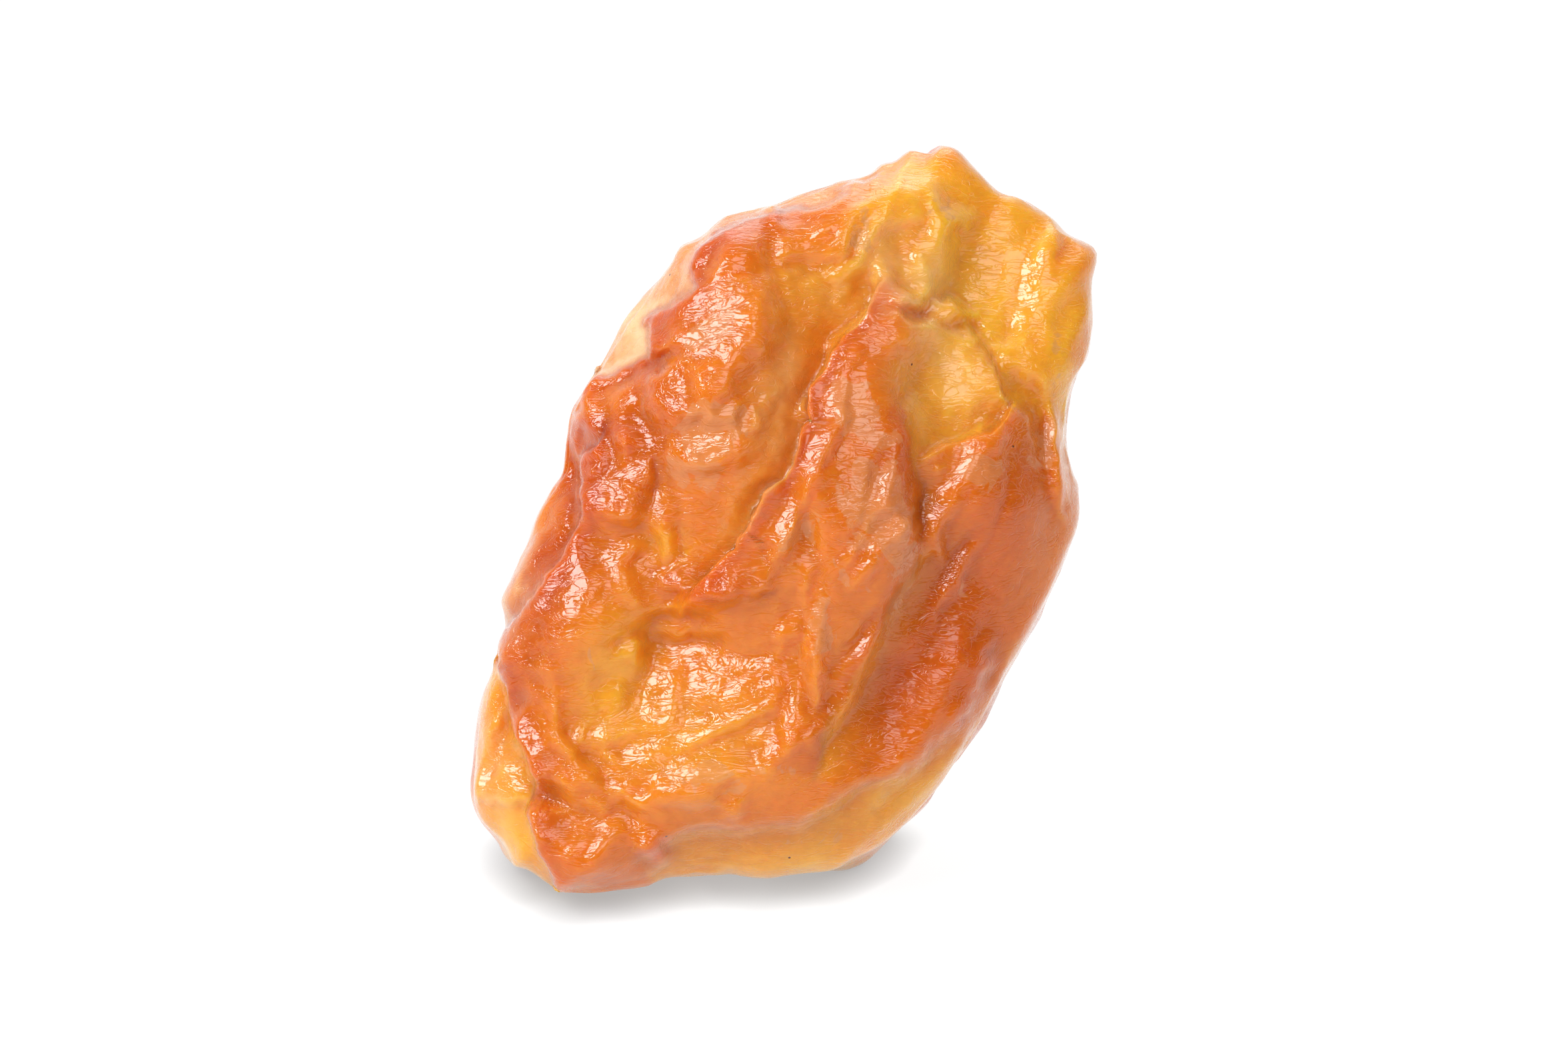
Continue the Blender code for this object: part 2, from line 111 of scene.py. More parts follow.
# The plain body: a flattened, over-full ellipsoid on the raisin's outline
body = {
    "lean": math.radians(20),  # of the face, back from upright
    "heart": (0.2, 9.6),       # the point that the outline is drawn round
    "frontDepth": (3.3, 3.0),  # at the foot, at the tip
    "backDepth": (6.3, 3.7),
    "frontFullness": (0.86, 0.86),  # power of the section: 1 is an ellipse, less is fuller
    "backFullness": (0.80, 0.98),
    "calmShare": 0.45,  # the outline's dents fade out from the rim to this share of its radius
    "outline": [
        (4.25, 19.9), (4.6, 19.75), (5.1, 19.3), (5.75, 18.75), (6.3, 18.6), (7.0, 18.15), (7.5, 17.6),
        (8.1, 17.2), (8.2, 16.9), (8.05, 16.3), (8.05, 15.3), (8.0, 14.4), (7.75, 13.9), (7.55, 13.2),
        (7.5, 12.2), (7.65, 11.4), (7.75, 10.9), (7.7, 10.0), (7.2, 8.6), (6.4, 6.8), (5.4, 4.9),
        (4.3, 3.2), (3.2, 1.9), (2.3, 1.2), (1.2, 0.75), (0.2, 0.5), (-0.4, 0.4), (-1.0, 0.45),
        (-1.7, 0.55), (-2.9, 0.45), (-3.2, 0.35), (-3.6, 0.15), (-4.2, 0.08), (-4.9, 0.0), (-5.6, 0.05),
        (-6.2, 0.35), (-6.7, 0.7), (-7.15, 0.85), (-7.45, 1.5), (-8.0, 2.1), (-8.2, 2.65), (-8.15, 3.4),
        (-8.1, 4.2), (-8.0, 5.1), (-7.65, 6.2), (-7.3, 7.1), (-7.3, 7.5), (-7.4, 7.95), (-7.25, 8.4),
        (-6.95, 9.1), (-6.75, 9.5), (-6.5, 10.3), (-6.1, 11.0), (-5.85, 11.4), (-5.75, 12.3), (-5.6, 13.0),
        (-5.3, 13.5), (-5.0, 14.0), (-4.6, 14.6), (-4.1, 15.4), (-3.6, 16.0), (-3.0, 16.8), (-2.7, 17.3),
        (-2.2, 17.6), (-1.6, 18.1), (-1.0, 18.3), (0.0, 18.5), (0.6, 18.7), (1.4, 19.0), (2.3, 19.2),
        (2.65, 19.45), (3.0, 19.5), (3.4, 19.8), (3.9, 19.75), (4.1, 19.85),
    ],
    # Pads it stands on: across and back on the floor, half width, sag
    "pads": [(-5.0, 1.4, 1.3, 0.4), (1.5, 2.6, 1.2, 0.7), (2.7, 5.6, 1.3, 1.7), (-4.4, 5.6, 1.4, 0.6)],
    "sagHeights": (0.8, 3.0),  # the pads' sag starts to fade at the first height and ends at the second
    "hollow": 0.35,            # the skin's height above the floor between the pads
    "floorSoftness": 0.35,     # how gradually it turns flat there
    "backLimit": 5.4,  # skin further back than this is drawn in by backPull, to keep to the CAD box
    "backPull": 0.55,
    "middleOnFloor": (0.067, 3.413),  # the CAD solid's middle, so the skin sits in the same place
}

skin = {
    "around": 520,  # points round each ring
    # Rings on each half, spaced evenly on a rounded section of this half width, depth and power
    "halfWidth": 8.5,
    "halves": {"front": (3.2, 0.86, 132), "back": (5.0, 0.9, 56)},
    "warp": [(1.3, 0.16, 41), (0.45, 0.08, 47), (0.22, 0.04, 53)],  # cell size, reach, seed of the wander
    "ridgeShare": 0.55,
    "lapEdge": (0.6, 0.2),  # width of the step where the skin doesn't hang over, and where it does
    "backLapEdge": (1.0, 1.0),
    "footShare": 0.2,  # depth of the crease at a lap's foot, for a lap of height 1
    "longAxis": math.radians(61),
    "wrinkleSpacing": 2.5,
    "wrinkleStretch": 3.0,  # how much longer a wrinkle is than it is wide
    "wrinkleHeight": (0.16, 0.8),  # on the face, on the back
    "crestWidth": 0.2,
    "wrinkleSeed": 23,
    # Cell size and height of each size of crumple
    "crumple": {"large": (1.6, 0.09), "middle": (0.8, 0.04), "small": (0.35, 0.028), "ripple": (0.6, 0.03)},
    "backCrumple": {"large": (1.9, 0.45), "small": (0.85, 0.24), "rise": 0.16},
    "backRoughness": 1.7,  # the face's crumple is this much higher on the back
    "facetCalm": 0.75,     # and loses this share of its height in a flat facet
}

# Broad swells: centre across and up, half widths, turn in degrees, height
frontSwells = [
    (-1.7, 13.4, 1.8, 3.2, 0, 1.5), (-1.0, 17.0, 1.6, 0.9, 20, 0.7), (1.6, 17.6, 1.0, 1.2, -35, 0.6),
    (5.5, 16.4, 1.6, 1.6, -20, -0.85), (5.4, 19.0, 1.6, 0.5, -35, 0.3), (4.6, 13.7, 1.0, 1.3, 0, -0.5),
    (2.0, 10.6, 1.5, 3.4, -12, 1.0), (5.6, 10.6, 1.3, 1.7, 15, 0.7), (2.9, 5.4, 0.9, 2.2, -20, -0.25),
    (-4.3, 10.6, 0.9, 0.7, 0, 0.5), (-4.4, 12.2, 0.6, 0.7, 0, 0.4), (-5.2, 7.3, 1.3, 1.6, -25, 0.7),
    (-2.1, 6.2, 1.8, 1.1, 5, -0.55), (-3.3, 9.3, 1.3, 0.7, -15, -0.15), (0.2, 4.3, 0.5, 0.5, 0, 0.35),
    (-1.6, 3.3, 2.0, 0.7, 8, 0.5), (-5.0, 1.2, 1.2, 0.9, 0, 0.8), (-7.3, 3.4, 0.5, 0.9, 0, -0.3),
    (-4.3, 12.25, 0.16, 0.16, 0, 0.12), (-4.05, 12.0, 0.2, 0.18, 0, 0.14),
    (-4.55, 11.75, 0.25, 0.2, 0, 0.14), (-4.2, 11.45, 0.18, 0.2, 0, 0.12), (-4.8, 11.3, 0.14, 0.14, 0, 0.1),
    (-4.35, 11.15, 0.16, 0.14, 0, 0.1), (-3.7, 11.3, 0.25, 0.3, 20, 0.14),
    (-4.1, 13.05, 0.22, 0.22, 0, 0.16), (-2.8, 12.75, 0.3, 0.2, 30, 0.1),
    (-1.15, 5.4, 0.12, 0.12, 0, -0.05), (-1.35, 6.0, 0.12, 0.16, 0, -0.06),
    (-1.65, 6.4, 0.08, 0.25, 0, -0.06), (-2.0, 6.5, 0.1, 0.2, 20, -0.05), (-0.78, 6.0, 0.08, 0.6, 0, -0.07),
    (-2.35, 6.7, 0.08, 0.3, -40, -0.05),
]
backSwells = [
    (-4.2, 2.6, 2.0, 1.5, 0, 1.3),
    (1.2, 3.0, 2.0, 1.5, 0, 1.3),
    (-3.5, 9.0, 1.4, 3.6, -20, 0.9),
    (-0.6, 8.2, 0.7, 4.6, -24, -0.9),
    (2.4, 9.4, 1.3, 4.0, -25, 0.9),
    (5.0, 11.6, 0.8, 2.8, -18, -0.7),
    (-2.0, 14.0, 1.3, 2.4, -30, 0.4),
    (3.4, 16.2, 1.6, 1.6, 0, -0.9),
    (0.6, 15.6, 0.7, 2.4, -38, -0.5),
]

# Facets that mirror the key light: centre across and up, half length, half width, turn, how flat
facets = [
    (-1.5, 15.2, 1.3, 1.0, 50, 0.9), (-2.6, 14.4, 0.5, 0.3, 60, 0.8), (-2.9, 13.3, 0.6, 0.42, 80, 0.8),
    (-1.9, 12.0, 0.8, 0.4, 5, 0.75), (-0.7, 13.2, 0.6, 0.45, 60, 0.4), (-1.35, 12.95, 0.2, 0.15, 0, 0.6),
    (-0.85, 12.75, 0.16, 0.22, 0, 0.7), (-1.95, 16.9, 0.4, 0.22, 60, 0.85),
    (-0.1, 17.2, 0.55, 0.09, 100, 0.8), (-1.95, 6.15, 1.55, 0.62, -28, 0.97),
    (-3.15, 5.4, 0.8, 0.45, 85, 0.9), (-0.4, 6.0, 0.5, 0.4, 40, 0.9), (-0.5, 5.5, 0.45, 0.12, 50, 0.8),
    (-2.65, 7.3, 0.5, 0.17, 5, 0.8), (-3.85, 3.75, 0.45, 0.2, -5, 0.85), (-4.0, 6.6, 0.22, 0.2, 0, 0.7),
    (-4.4, 5.5, 0.25, 0.16, -60, 0.6), (-2.9, 4.25, 0.6, 0.14, 14, 0.85), (-1.6, 4.7, 0.7, 0.08, 24, 0.85),
    (-5.35, 4.35, 0.3, 0.1, 75, 0.8), (-4.75, 4.3, 0.3, 0.06, 60, 0.8), (-4.65, 3.75, 0.2, 0.12, -35, 0.8),
    (-4.3, 3.15, 0.5, 0.1, -40, 0.85), (-3.4, 2.9, 0.5, 0.07, -6, 0.85), (-6.15, 5.0, 0.5, 0.1, -78, 0.85),
    (-5.85, 4.0, 0.55, 0.11, -65, 0.85), (-5.35, 3.35, 0.45, 0.1, -36, 0.85),
    (-4.6, 2.78, 0.35, 0.11, -12, 0.85), (-6.5, 6.3, 0.6, 0.12, -5, 0.6), (-6.6, 5.7, 0.35, 0.08, -40, 0.7),
    (-7.0, 3.4, 0.25, 0.18, 30, 0.8), (-7.0, 2.92, 0.6, 0.08, -6, 0.85), (-7.7, 3.8, 0.5, 0.06, 62, 0.7),
    (-7.55, 5.1, 0.4, 0.08, 80, 0.7), (-6.5, 4.2, 0.3, 0.07, -70, 0.7), (-4.75, 1.65, 0.5, 0.06, 50, 0.7),
    (-3.8, 1.9, 0.3, 0.05, -50, 0.7), (-5.0, 1.9, 0.7, 0.5, 0, 0.35), (-4.45, 10.45, 0.5, 0.2, -27, 0.85),
    (-5.35, 8.75, 0.5, 0.14, 55, 0.75), (-6.05, 8.05, 0.4, 0.1, 50, 0.6), (-4.35, 9.22, 0.28, 0.1, 18, 0.8),
    (-4.5, 8.85, 0.25, 0.04, -60, 0.8), (-3.15, 10.25, 0.4, 0.08, 100, 0.8),
    (-3.75, 11.35, 0.25, 0.14, -50, 0.8), (-4.15, 13.05, 0.25, 0.12, 60, 0.85),
    (-4.75, 12.55, 0.6, 0.06, -75, 0.8), (-4.5, 13.7, 0.6, 0.07, 18, 0.8),
    (-5.65, 12.2, 0.6, 0.07, 82, 0.8), (-6.3, 10.3, 0.4, 0.12, 60, 0.6), (-1.9, 8.15, 0.3, 0.07, 25, 0.8),
    (-1.3, 8.35, 0.16, 0.07, 70, 0.8), (-2.6, 8.45, 0.2, 0.06, -10, 0.8), (2.2, 17.5, 0.8, 0.13, 66, 0.85),
    (1.6, 17.65, 0.55, 0.16, 52, 0.6), (1.2, 16.65, 0.3, 0.07, 0, 0.7), (3.35, 16.85, 0.35, 0.14, -55, 0.5),
    (3.7, 17.3, 0.4, 0.12, 35, 0.5), (3.9, 18.3, 0.22, 0.09, -60, 0.6), (4.05, 17.8, 0.35, 0.08, 15, 0.5),
    (6.55, 16.25, 1.05, 0.15, 62, 0.9), (7.6, 15.4, 0.4, 0.25, 60, 0.4), (1.7, 14.35, 0.75, 0.1, 57, 0.9),
    (2.45, 15.28, 0.45, 0.07, 32, 0.85), (2.62, 15.95, 0.3, 0.1, 95, 0.8), (4.0, 15.5, 0.35, 0.08, 0, 0.8),
    (5.7, 14.3, 0.3, 0.1, -50, 0.8), (2.6, 14.8, 0.5, 0.25, 0, 0.5), (1.45, 13.2, 0.35, 0.14, 85, 0.85),
    (1.0, 12.0, 0.75, 0.2, 58, 0.9), (0.5, 11.0, 0.6, 0.2, 65, 0.9), (0.12, 10.0, 0.65, 0.16, 74, 0.9),
    (0.8, 8.7, 0.4, 0.06, -82, 0.85), (0.9, 7.1, 0.5, 0.06, 88, 0.7), (2.62, 10.75, 0.45, 0.07, 80, 0.85),
    (2.15, 9.6, 0.4, 0.1, 50, 0.85), (2.9, 9.85, 0.26, 0.2, 0, 0.85), (2.25, 9.1, 0.3, 0.08, 62, 0.85),
    (4.4, 10.85, 0.95, 0.16, 62, 0.9), (3.82, 10.2, 0.3, 0.06, -80, 0.8), (4.55, 8.8, 0.45, 0.11, 58, 0.85),
    (6.65, 13.0, 0.45, 0.1, -60, 0.85), (7.0, 12.0, 0.75, 0.12, -76, 0.85), (5.0, 12.0, 0.4, 0.12, 15, 0.6),
    (1.95, 6.45, 0.65, 0.14, 60, 0.9), (1.4, 5.3, 0.4, 0.07, 45, 0.8), (0.05, 4.6, 0.25, 0.06, 25, 0.8),
    (-0.3, 4.1, 0.3, 0.09, 85, 0.8), (0.35, 4.4, 0.2, 0.05, 25, 0.8), (0.25, 7.25, 0.2, 0.06, 75, 0.8),
    (0.2, 5.3, 0.4, 0.06, 85, 0.7), (-1.3, 2.75, 0.25, 0.15, 60, 0.6),
]
# Smooth stretches: across, up, half length, half width, turn, how flat, rise right, rise up, lift
plains = [
    (0.1, 15.0, 1.9, 0.85, 78, 0.85, -0.45, -0.1, 0.2), (-0.45, 12.4, 1.5, 0.35, 68, 0.6, -0.35, -0.05, 0),
    (2.2, 11.2, 2.6, 0.85, 98, 0.6, 0.02, -0.1, 0), (4.3, 13.6, 0.9, 0.8, 0, 0.6, 0.1, -0.15, 0.1),
    (3.6, 5.4, 2.4, 0.5, 66, 0.6, 0.1, -0.1, 0), (-1.6, 10.2, 1.2, 0.7, 80, 0.4, -0.1, 0.1, 0),
    (3.2, 17.3, 1.4, 1.1, 80, 0.85, -0.22, 0.0, 0.2), (5.3, 16.4, 1.2, 0.7, 60, 0.4, 0.25, -0.2, 0),
]
keySlope = (0.34, -0.28)  # the rise to the right and up the face that mirrors the key light to the camera

# Laps: points along the edge (raised side on the left), height, fade, soft start, soft end, lip, overhang
frontLaps = [
    ([(2.6, 19.5), (2.3, 19.2), (1.6, 18.75), (0.9, 18.3), (0.0, 18.0), (-1.0, 17.85), (-1.9, 17.35),
      (-2.2, 16.8), (-2.25, 16.15), (-2.8, 15.85), (-3.4, 15.4), (-3.55, 14.8), (-3.6, 14.2), (-4.2, 13.95),
      (-4.9, 13.6), (-5.5, 13.3), (-6.0, 13.1)], 0.8, 2.0, 0.6, 0.2, 0.05, 0.03),
    ([(2.75, 16.4), (2.4, 15.8), (2.1, 15.1), (1.6, 14.6), (1.2, 13.9), (0.9, 13.5), (0.85, 13.0),
      (1.0, 12.65), (0.7, 12.4), (0.4, 11.9), (0.2, 11.2), (-0.2, 10.8), (-0.55, 10.3), (-0.7, 9.9),
      (-0.95, 9.5), (-1.1, 9.2), (-1.6, 8.7), (-1.9, 8.4), (-2.3, 8.2), (-2.8, 8.15)], 0.95, 2.2, 0.5, 1.0,
      0.14, 0.2),
    ([(6.0, 12.6), (5.95, 12.9), (5.85, 13.4), (5.4, 14.4), (4.8, 15.35), (4.3, 15.8), (3.3, 16.0),
      (2.7, 16.3)], 0.35, 0.8, 0.6, 0.6, 0.06, 0.03),
    ([(6.3, 13.2), (5.95, 12.85), (5.5, 12.4), (5.0, 12.2), (4.3, 12.1), (3.6, 11.85)], 0.32, 1.1, 0.5, 0.5,
      0.08, 0.03),
    ([(0.7, 3.2), (0.8, 3.7), (0.95, 4.3), (1.1, 5.0), (1.7, 5.7), (2.3, 6.6), (2.8, 7.5), (3.2, 8.5),
      (3.5, 9.4), (3.6, 10.4), (3.55, 11.4), (3.35, 12.4), (3.0, 13.3)], 0.24, 1.4, 1.6, 1.2, 0.05, 0.0),
    ([(-4.6, 12.8), (-4.75, 12.2), (-5.05, 11.6), (-5.2, 10.9), (-5.1, 10.1), (-5.3, 9.6), (-5.8, 8.9),
      (-6.3, 8.3), (-6.8, 7.55), (-7.25, 7.1), (-7.6, 6.8)], 0.75, 1.6, 1.0, 0.2, 0.08, 0.12),
    ([(-7.7, 6.6), (-7.4, 6.3), (-7.15, 5.6), (-7.1, 4.9), (-6.9, 4.2), (-6.5, 3.5), (-6.3, 3.1),
      (-6.55, 2.4), (-6.45, 1.6), (-6.2, 1.0), (-5.9, 0.5), (-5.8, 0.1)], 0.75, 1.4, 0.3, 0.4, 0.08, 0.12),
    ([(-4.0, 1.0), (-3.7, 1.2), (-3.1, 1.45), (-2.3, 1.85), (-1.3, 1.95), (0.0, 2.1), (0.9, 2.3), (1.5, 2.75),
      (2.3, 3.05), (3.2, 3.35), (4.2, 4.2), (5.0, 5.3), (5.8, 7.2)], 0.6, 2.0, 0.8, 1.4, 0.05, 0.0),
    ([(-3.4, 8.75), (-3.2, 8.5), (-2.8, 8.2), (-1.9, 8.0), (-0.9, 8.0), (-0.2, 8.1), (0.2, 8.3)],
     0.28, 0.9, 0.5, 0.7, 0.08, 0.0),
    ([(3.0, 16.2), (3.3, 15.9), (3.8, 15.6), (4.1, 15.45)][::-1], 0.18, 0.5, 0.3, 0.3, 0.04, 0.0),
]
backLaps = [
    ([(-5.6, 3.2), (-5.2, 5.0), (-4.8, 7.0), (-4.2, 8.8), (-3.2, 10.6), (-2.4, 12.4), (-1.2, 14.0),
      (0.2, 15.2)], 0.7, 1.6, 1.5, 3.0, 0.05, 0.0),
    ([(-2.0, 3.4), (-1.5, 5.4), (-0.4, 7.2), (0.2, 9.0), (1.2, 10.8), (1.9, 12.6), (3.2, 14.0), (4.0, 15.6)],
     0.7, 1.4, 1.5, 2.0, 0.05, 0.0),
    ([(6.0, 14.6), (5.3, 12.8), (5.0, 11.0), (4.2, 9.2), (3.8, 7.4), (2.8, 5.8), (2.4, 4.2)],
     0.8, 1.4, 1.5, 1.2, 0.05, 0.0),
    ([(-6.6, 8.2), (-6.0, 9.6), (-5.2, 11.0), (-4.4, 12.8), (-3.0, 14.4), (-2.0, 16.0)],
     0.6, 1.1, 1.0, 1.2, 0.05, 0.0),
]

# Ridges and creases: points, height, half width
frontRidges = [
    ([(2.6, 15.9), (2.2, 15.2), (1.75, 14.5), (1.45, 13.6), (1.35, 12.7), (0.9, 11.7), (0.4, 10.9),
      (0.15, 10.1), (0.15, 9.4)], 0.28, 0.28),
    ([(-7.1, 6.3), (-6.6, 5.8), (-6.2, 5.35), (-6.1, 4.8), (-5.85, 4.0), (-5.6, 3.5), (-5.1, 3.1),
      (-4.6, 2.7), (-4.0, 2.6), (-3.4, 2.5)], 0.5, 0.2),
    ([(-4.95, 4.2), (-4.8, 3.5), (-4.3, 3.0), (-3.7, 2.85), (-3.0, 2.85), (-2.2, 2.95)], 0.32, 0.16),
    ([(-0.9, 6.7), (-0.2, 6.45), (0.2, 6.0), (0.2, 5.2), (0.1, 4.8), (-0.3, 4.5), (-0.35, 4.1),
      (-0.1, 3.7)], 0.28, 0.15),
    ([(-3.7, 4.1), (-3.0, 4.25), (-2.2, 4.45), (-1.5, 4.75), (-0.9, 5.1), (-0.5, 5.6)], 0.28, 0.16),
    ([(-5.0, 9.9), (-4.75, 9.4), (-4.6, 9.15), (-4.45, 8.6)], 0.2, 0.12),
    ([(-4.65, 9.2), (-4.0, 9.35), (-3.7, 9.3)], 0.14, 0.1),
    ([(-4.3, 11.1), (-4.2, 11.0), (-3.9, 10.8), (-3.6, 10.7)], 0.22, 0.12),
    ([(-3.3, 10.85), (-3.05, 10.5), (-3.05, 10.0), (-2.6, 9.8)], 0.28, 0.13),
    ([(-3.0, 14.7), (-3.2, 13.2), (-3.0, 12.2), (-3.0, 11.2), (-2.7, 10.3), (-2.6, 9.9)], -0.15, 0.2),
    ([(7.1, 17.4), (6.85, 16.9), (6.6, 16.3), (6.0, 15.45), (5.9, 15.2)], 0.5, 0.26),
    ([(3.9, 18.4), (4.0, 17.9), (3.4, 17.4), (3.2, 16.9), (3.35, 16.5)], 0.3, 0.16),
    ([(2.7, 18.2), (2.4, 17.7), (2.1, 17.1), (1.9, 16.7)], 0.42, 0.2),
    ([(1.9, 17.9), (1.4, 17.4), (1.0, 16.9), (0.75, 16.6)], 0.2, 0.12),
    ([(2.4, 16.9), (1.9, 16.3), (2.1, 15.6)], -0.3, 0.18),
    ([(-0.25, 17.9), (0.0, 17.3), (0.1, 16.7), (0.05, 16.3)], 0.38, 0.16),
    ([(-2.4, 16.1), (-1.4, 16.4), (-0.4, 16.5), (0.6, 16.8), (1.3, 17.0)], -0.25, 0.2),
    ([(4.9, 11.7), (4.5, 11.4), (4.3, 10.8), (4.15, 10.3), (3.95, 9.9)], 0.45, 0.2),
    ([(6.35, 13.5), (6.7, 12.9), (6.95, 12.3), (7.05, 11.6), (7.3, 11.0)], 0.45, 0.2),
    ([(4.75, 9.1), (4.4, 8.6), (4.2, 8.1), (3.95, 7.3), (3.9, 6.9)], 0.4, 0.18),
    ([(6.0, 12.3), (5.9, 10.6), (5.2, 8.8), (4.9, 7.6)], -0.3, 0.25),
    ([(-5.6, 12.9), (-5.65, 12.3), (-5.8, 11.6), (-5.9, 11.0)], 0.28, 0.16),
    ([(-4.9, 13.3), (-4.85, 12.7), (-4.7, 12.1)], 0.18, 0.1),
    ([(-7.6, 2.95), (-7.1, 3.1), (-6.8, 2.85), (-6.4, 2.9)], 0.28, 0.13),
    ([(-5.1, 1.5), (-4.8, 1.8), (-4.2, 2.2)], 0.2, 0.14),
    ([(-4.0, 1.7), (-3.6, 1.25), (-3.9, 0.9), (-4.1, 0.6)], -0.28, 0.14),
    ([(-5.9, 6.6), (-6.1, 6.1), (-6.2, 5.7)], 0.18, 0.12),
    ([(-4.2, 6.4), (-3.9, 6.8), (-3.75, 6.5)], 0.2, 0.12),
    ([(-2.5, 13.0), (-2.3, 12.7), (-2.5, 12.35), (-2.9, 12.3)], 0.15, 0.1),
    ([(0.85, 9.0), (0.85, 7.9), (0.9, 7.3)], 0.14, 0.1),
    ([(0.6, 8.9), (0.6, 7.4), (0.6, 6.0)], -0.10, 0.15),
    ([(1.9, 12.6), (1.7, 11.2), (1.5, 9.6), (1.6, 8.2)], -0.12, 0.25),
]
backRidges = [
    ([(-3.6, 3.0), (-3.2, 5.0), (-2.4, 7.0), (-1.9, 9.2), (-0.9, 11.2), (0.2, 12.8)], 0.4, 0.3),
    ([(0.6, 3.8), (1.2, 5.8), (2.2, 7.8), (2.6, 9.8), (3.6, 11.6)], 0.4, 0.3),
    ([(-1.6, 16.4), (-0.4, 16.9), (1.0, 17.2), (2.4, 17.8)], 0.35, 0.25),
    ([(6.6, 16.6), (5.6, 15.2), (5.0, 13.6)], 0.4, 0.25),
    ([(6.9, 11.8), (6.2, 9.8), (5.2, 7.8), (4.4, 6.2)], 0.4, 0.3),
    ([(-6.9, 5.6), (-6.3, 7.2), (-5.6, 8.4)], 0.35, 0.25),
]


# The outline's radius about the heart, its dents fading out towards the middle
def turnover(angle, nearEdge):
    edge = splineThrough(body["outline"], closed=True) - body["heart"]
    turn = np.arctan2(edge[:, 1], edge[:, 0])
    order = np.argsort(turn)
    even = np.linspace(-math.pi, math.pi, 720, endpoint=False)
    dented = np.interp(even, turn[order], np.hypot(*edge[order].T), period=2 * math.pi)
    waves = np.fft.rfft(dented)
    waves[4:] = 0
    calm = np.fft.irfft(waves, len(even))
    weight = softStep(nearEdge, body["calmShare"], 1.0)
    return (np.interp(angle, even, dented, period=2 * math.pi) * weight
            + np.interp(angle, even, calm, period=2 * math.pi) * (1 - weight))


# Radius = outline times sine^power of the tilt, depth = half thickness times cosine^power
def plainBody(angle, tilt):
    upShare, out = np.sin(tilt) * np.sin(angle), np.cos(tilt)
    front = out >= 0
    tipShare = softStep(upShare, -0.7, 0.5)
    power = np.where(front, between(body["frontFullness"], tipShare), between(body["backFullness"], tipShare))
    spread = np.clip(np.sin(tilt), 0, 1) ** power
    radius = turnover(angle, spread) * spread
    up = body["heart"][1] + radius * np.sin(angle)
    height = np.clip(up / 20, 0, 1)
    thickness = np.where(front, between(body["frontDepth"], height), -between(body["backDepth"], height))
    return np.column_stack([body["heart"][0] + radius * np.cos(angle), up, thickness * np.abs(out) ** power])


def swellHeight(spots, swells):  # a sum of turned Gaussian hills
    rise = np.zeros(len(spots))
    for across, up, halfAcross, halfUp, turn, height in swells:
        c, s = math.cos(math.radians(turn)), math.sin(math.radians(turn))
        x, y = (spots - (across, up)).T
        rise += height * np.exp(-(((c * x + s * y) / halfAcross) ** 2) - ((c * y - s * x) / halfUp) ** 2)
    return rise


# Inside each facet the depth blends, by a soft step of the turned ellipse's radius, to the plane through its
# middle; returns how flat each point has become
def flatten(place, spots):
    calm = np.zeros(len(place))
    for across, up, halfLength, halfWidth, turn, share, *slope in plains + facets:
        c, s = math.cos(math.radians(turn)), math.sin(math.radians(turn))
        x, y = (spots - (across, up)).T
        reach = np.hypot((c * x + s * y) / (halfLength + 0.05), (c * y - s * x) / (halfWidth + 0.05))
        inside = (1 - softStep(reach, 0.7, 1.3 + 0.18 / halfWidth)) * softStep(place[:, 2], 0, 0.9) * share
        middle = np.average(place[:, 2], weights=inside ** 4 + 1e-12)
        right, rise, lift = slope or (*keySlope, 0)
        place[:, 2] += inside * (middle + lift + right * x + rise * y - place[:, 2])
        calm = np.maximum(calm, inside)
    return calm


def nearCurve(curve, spots, reach):  # which points are in the curve's box, widened by the reach
    low, high = curve.min(0) - reach, curve.max(0) + reach
    return np.nonzero(((spots > low) & (spots < high)).all(1))[0]


# Height times a soft step across the edge times exp(-(distance behind it / fade)^1.5), with a crease at its
# foot and a rounded lip along its top; the lip slides over the low side by the overhang
def lapHeight(spots, laps, edgeWidths):
    rise, slide = np.zeros(len(spots)), np.zeros((len(spots), 2))
    for points, height, fade, softStart, softEnd, lip, overhang in laps:
        curve = splineThrough(points)
        near = nearCurve(curve, spots, 3.2 * fade)
        side, along, length, left = besideLine(curve, spots[near])
        ends = softStep(along, 0, softStart) * softStep(length - along, 0, softEnd)
        uneven = 1 + (0.5 * wobble(along, 0.9, len(points)) - 0.25) * np.exp(-((side / 0.5) ** 2))
        wide = edgeWidths[1 if overhang > 0 else 0]
        edge = softStep(side, -wide / 2, wide / 2) * np.exp(-((np.maximum(side, 0) / fade) ** 1.5))
        foot = np.exp(-(((side + wide) / (wide + 0.05)) ** 2)) * skin["footShare"]
        bead = np.exp(-(((side - 0.12) / 0.14) ** 2)) * lip * 1.8 * wobble(along, 0.45, 7 + len(points))
        rise[near] += ends * (height * uneven * (edge - foot) + bead)
        lipReach = np.exp(-((np.maximum(side - 0.05, 0) / 0.35) ** 2)) * softStep(side, -0.12, 0.08)
        hang = overhang * ends * lipReach
        slide[near] -= left * hang[:, None]
    return rise, slide


def wobble(along, size, seed):  # noise along a line, 0 to 1
    return smoothNoise(np.column_stack([along / size, 0 * along + 0.37, 0 * along]), seed)


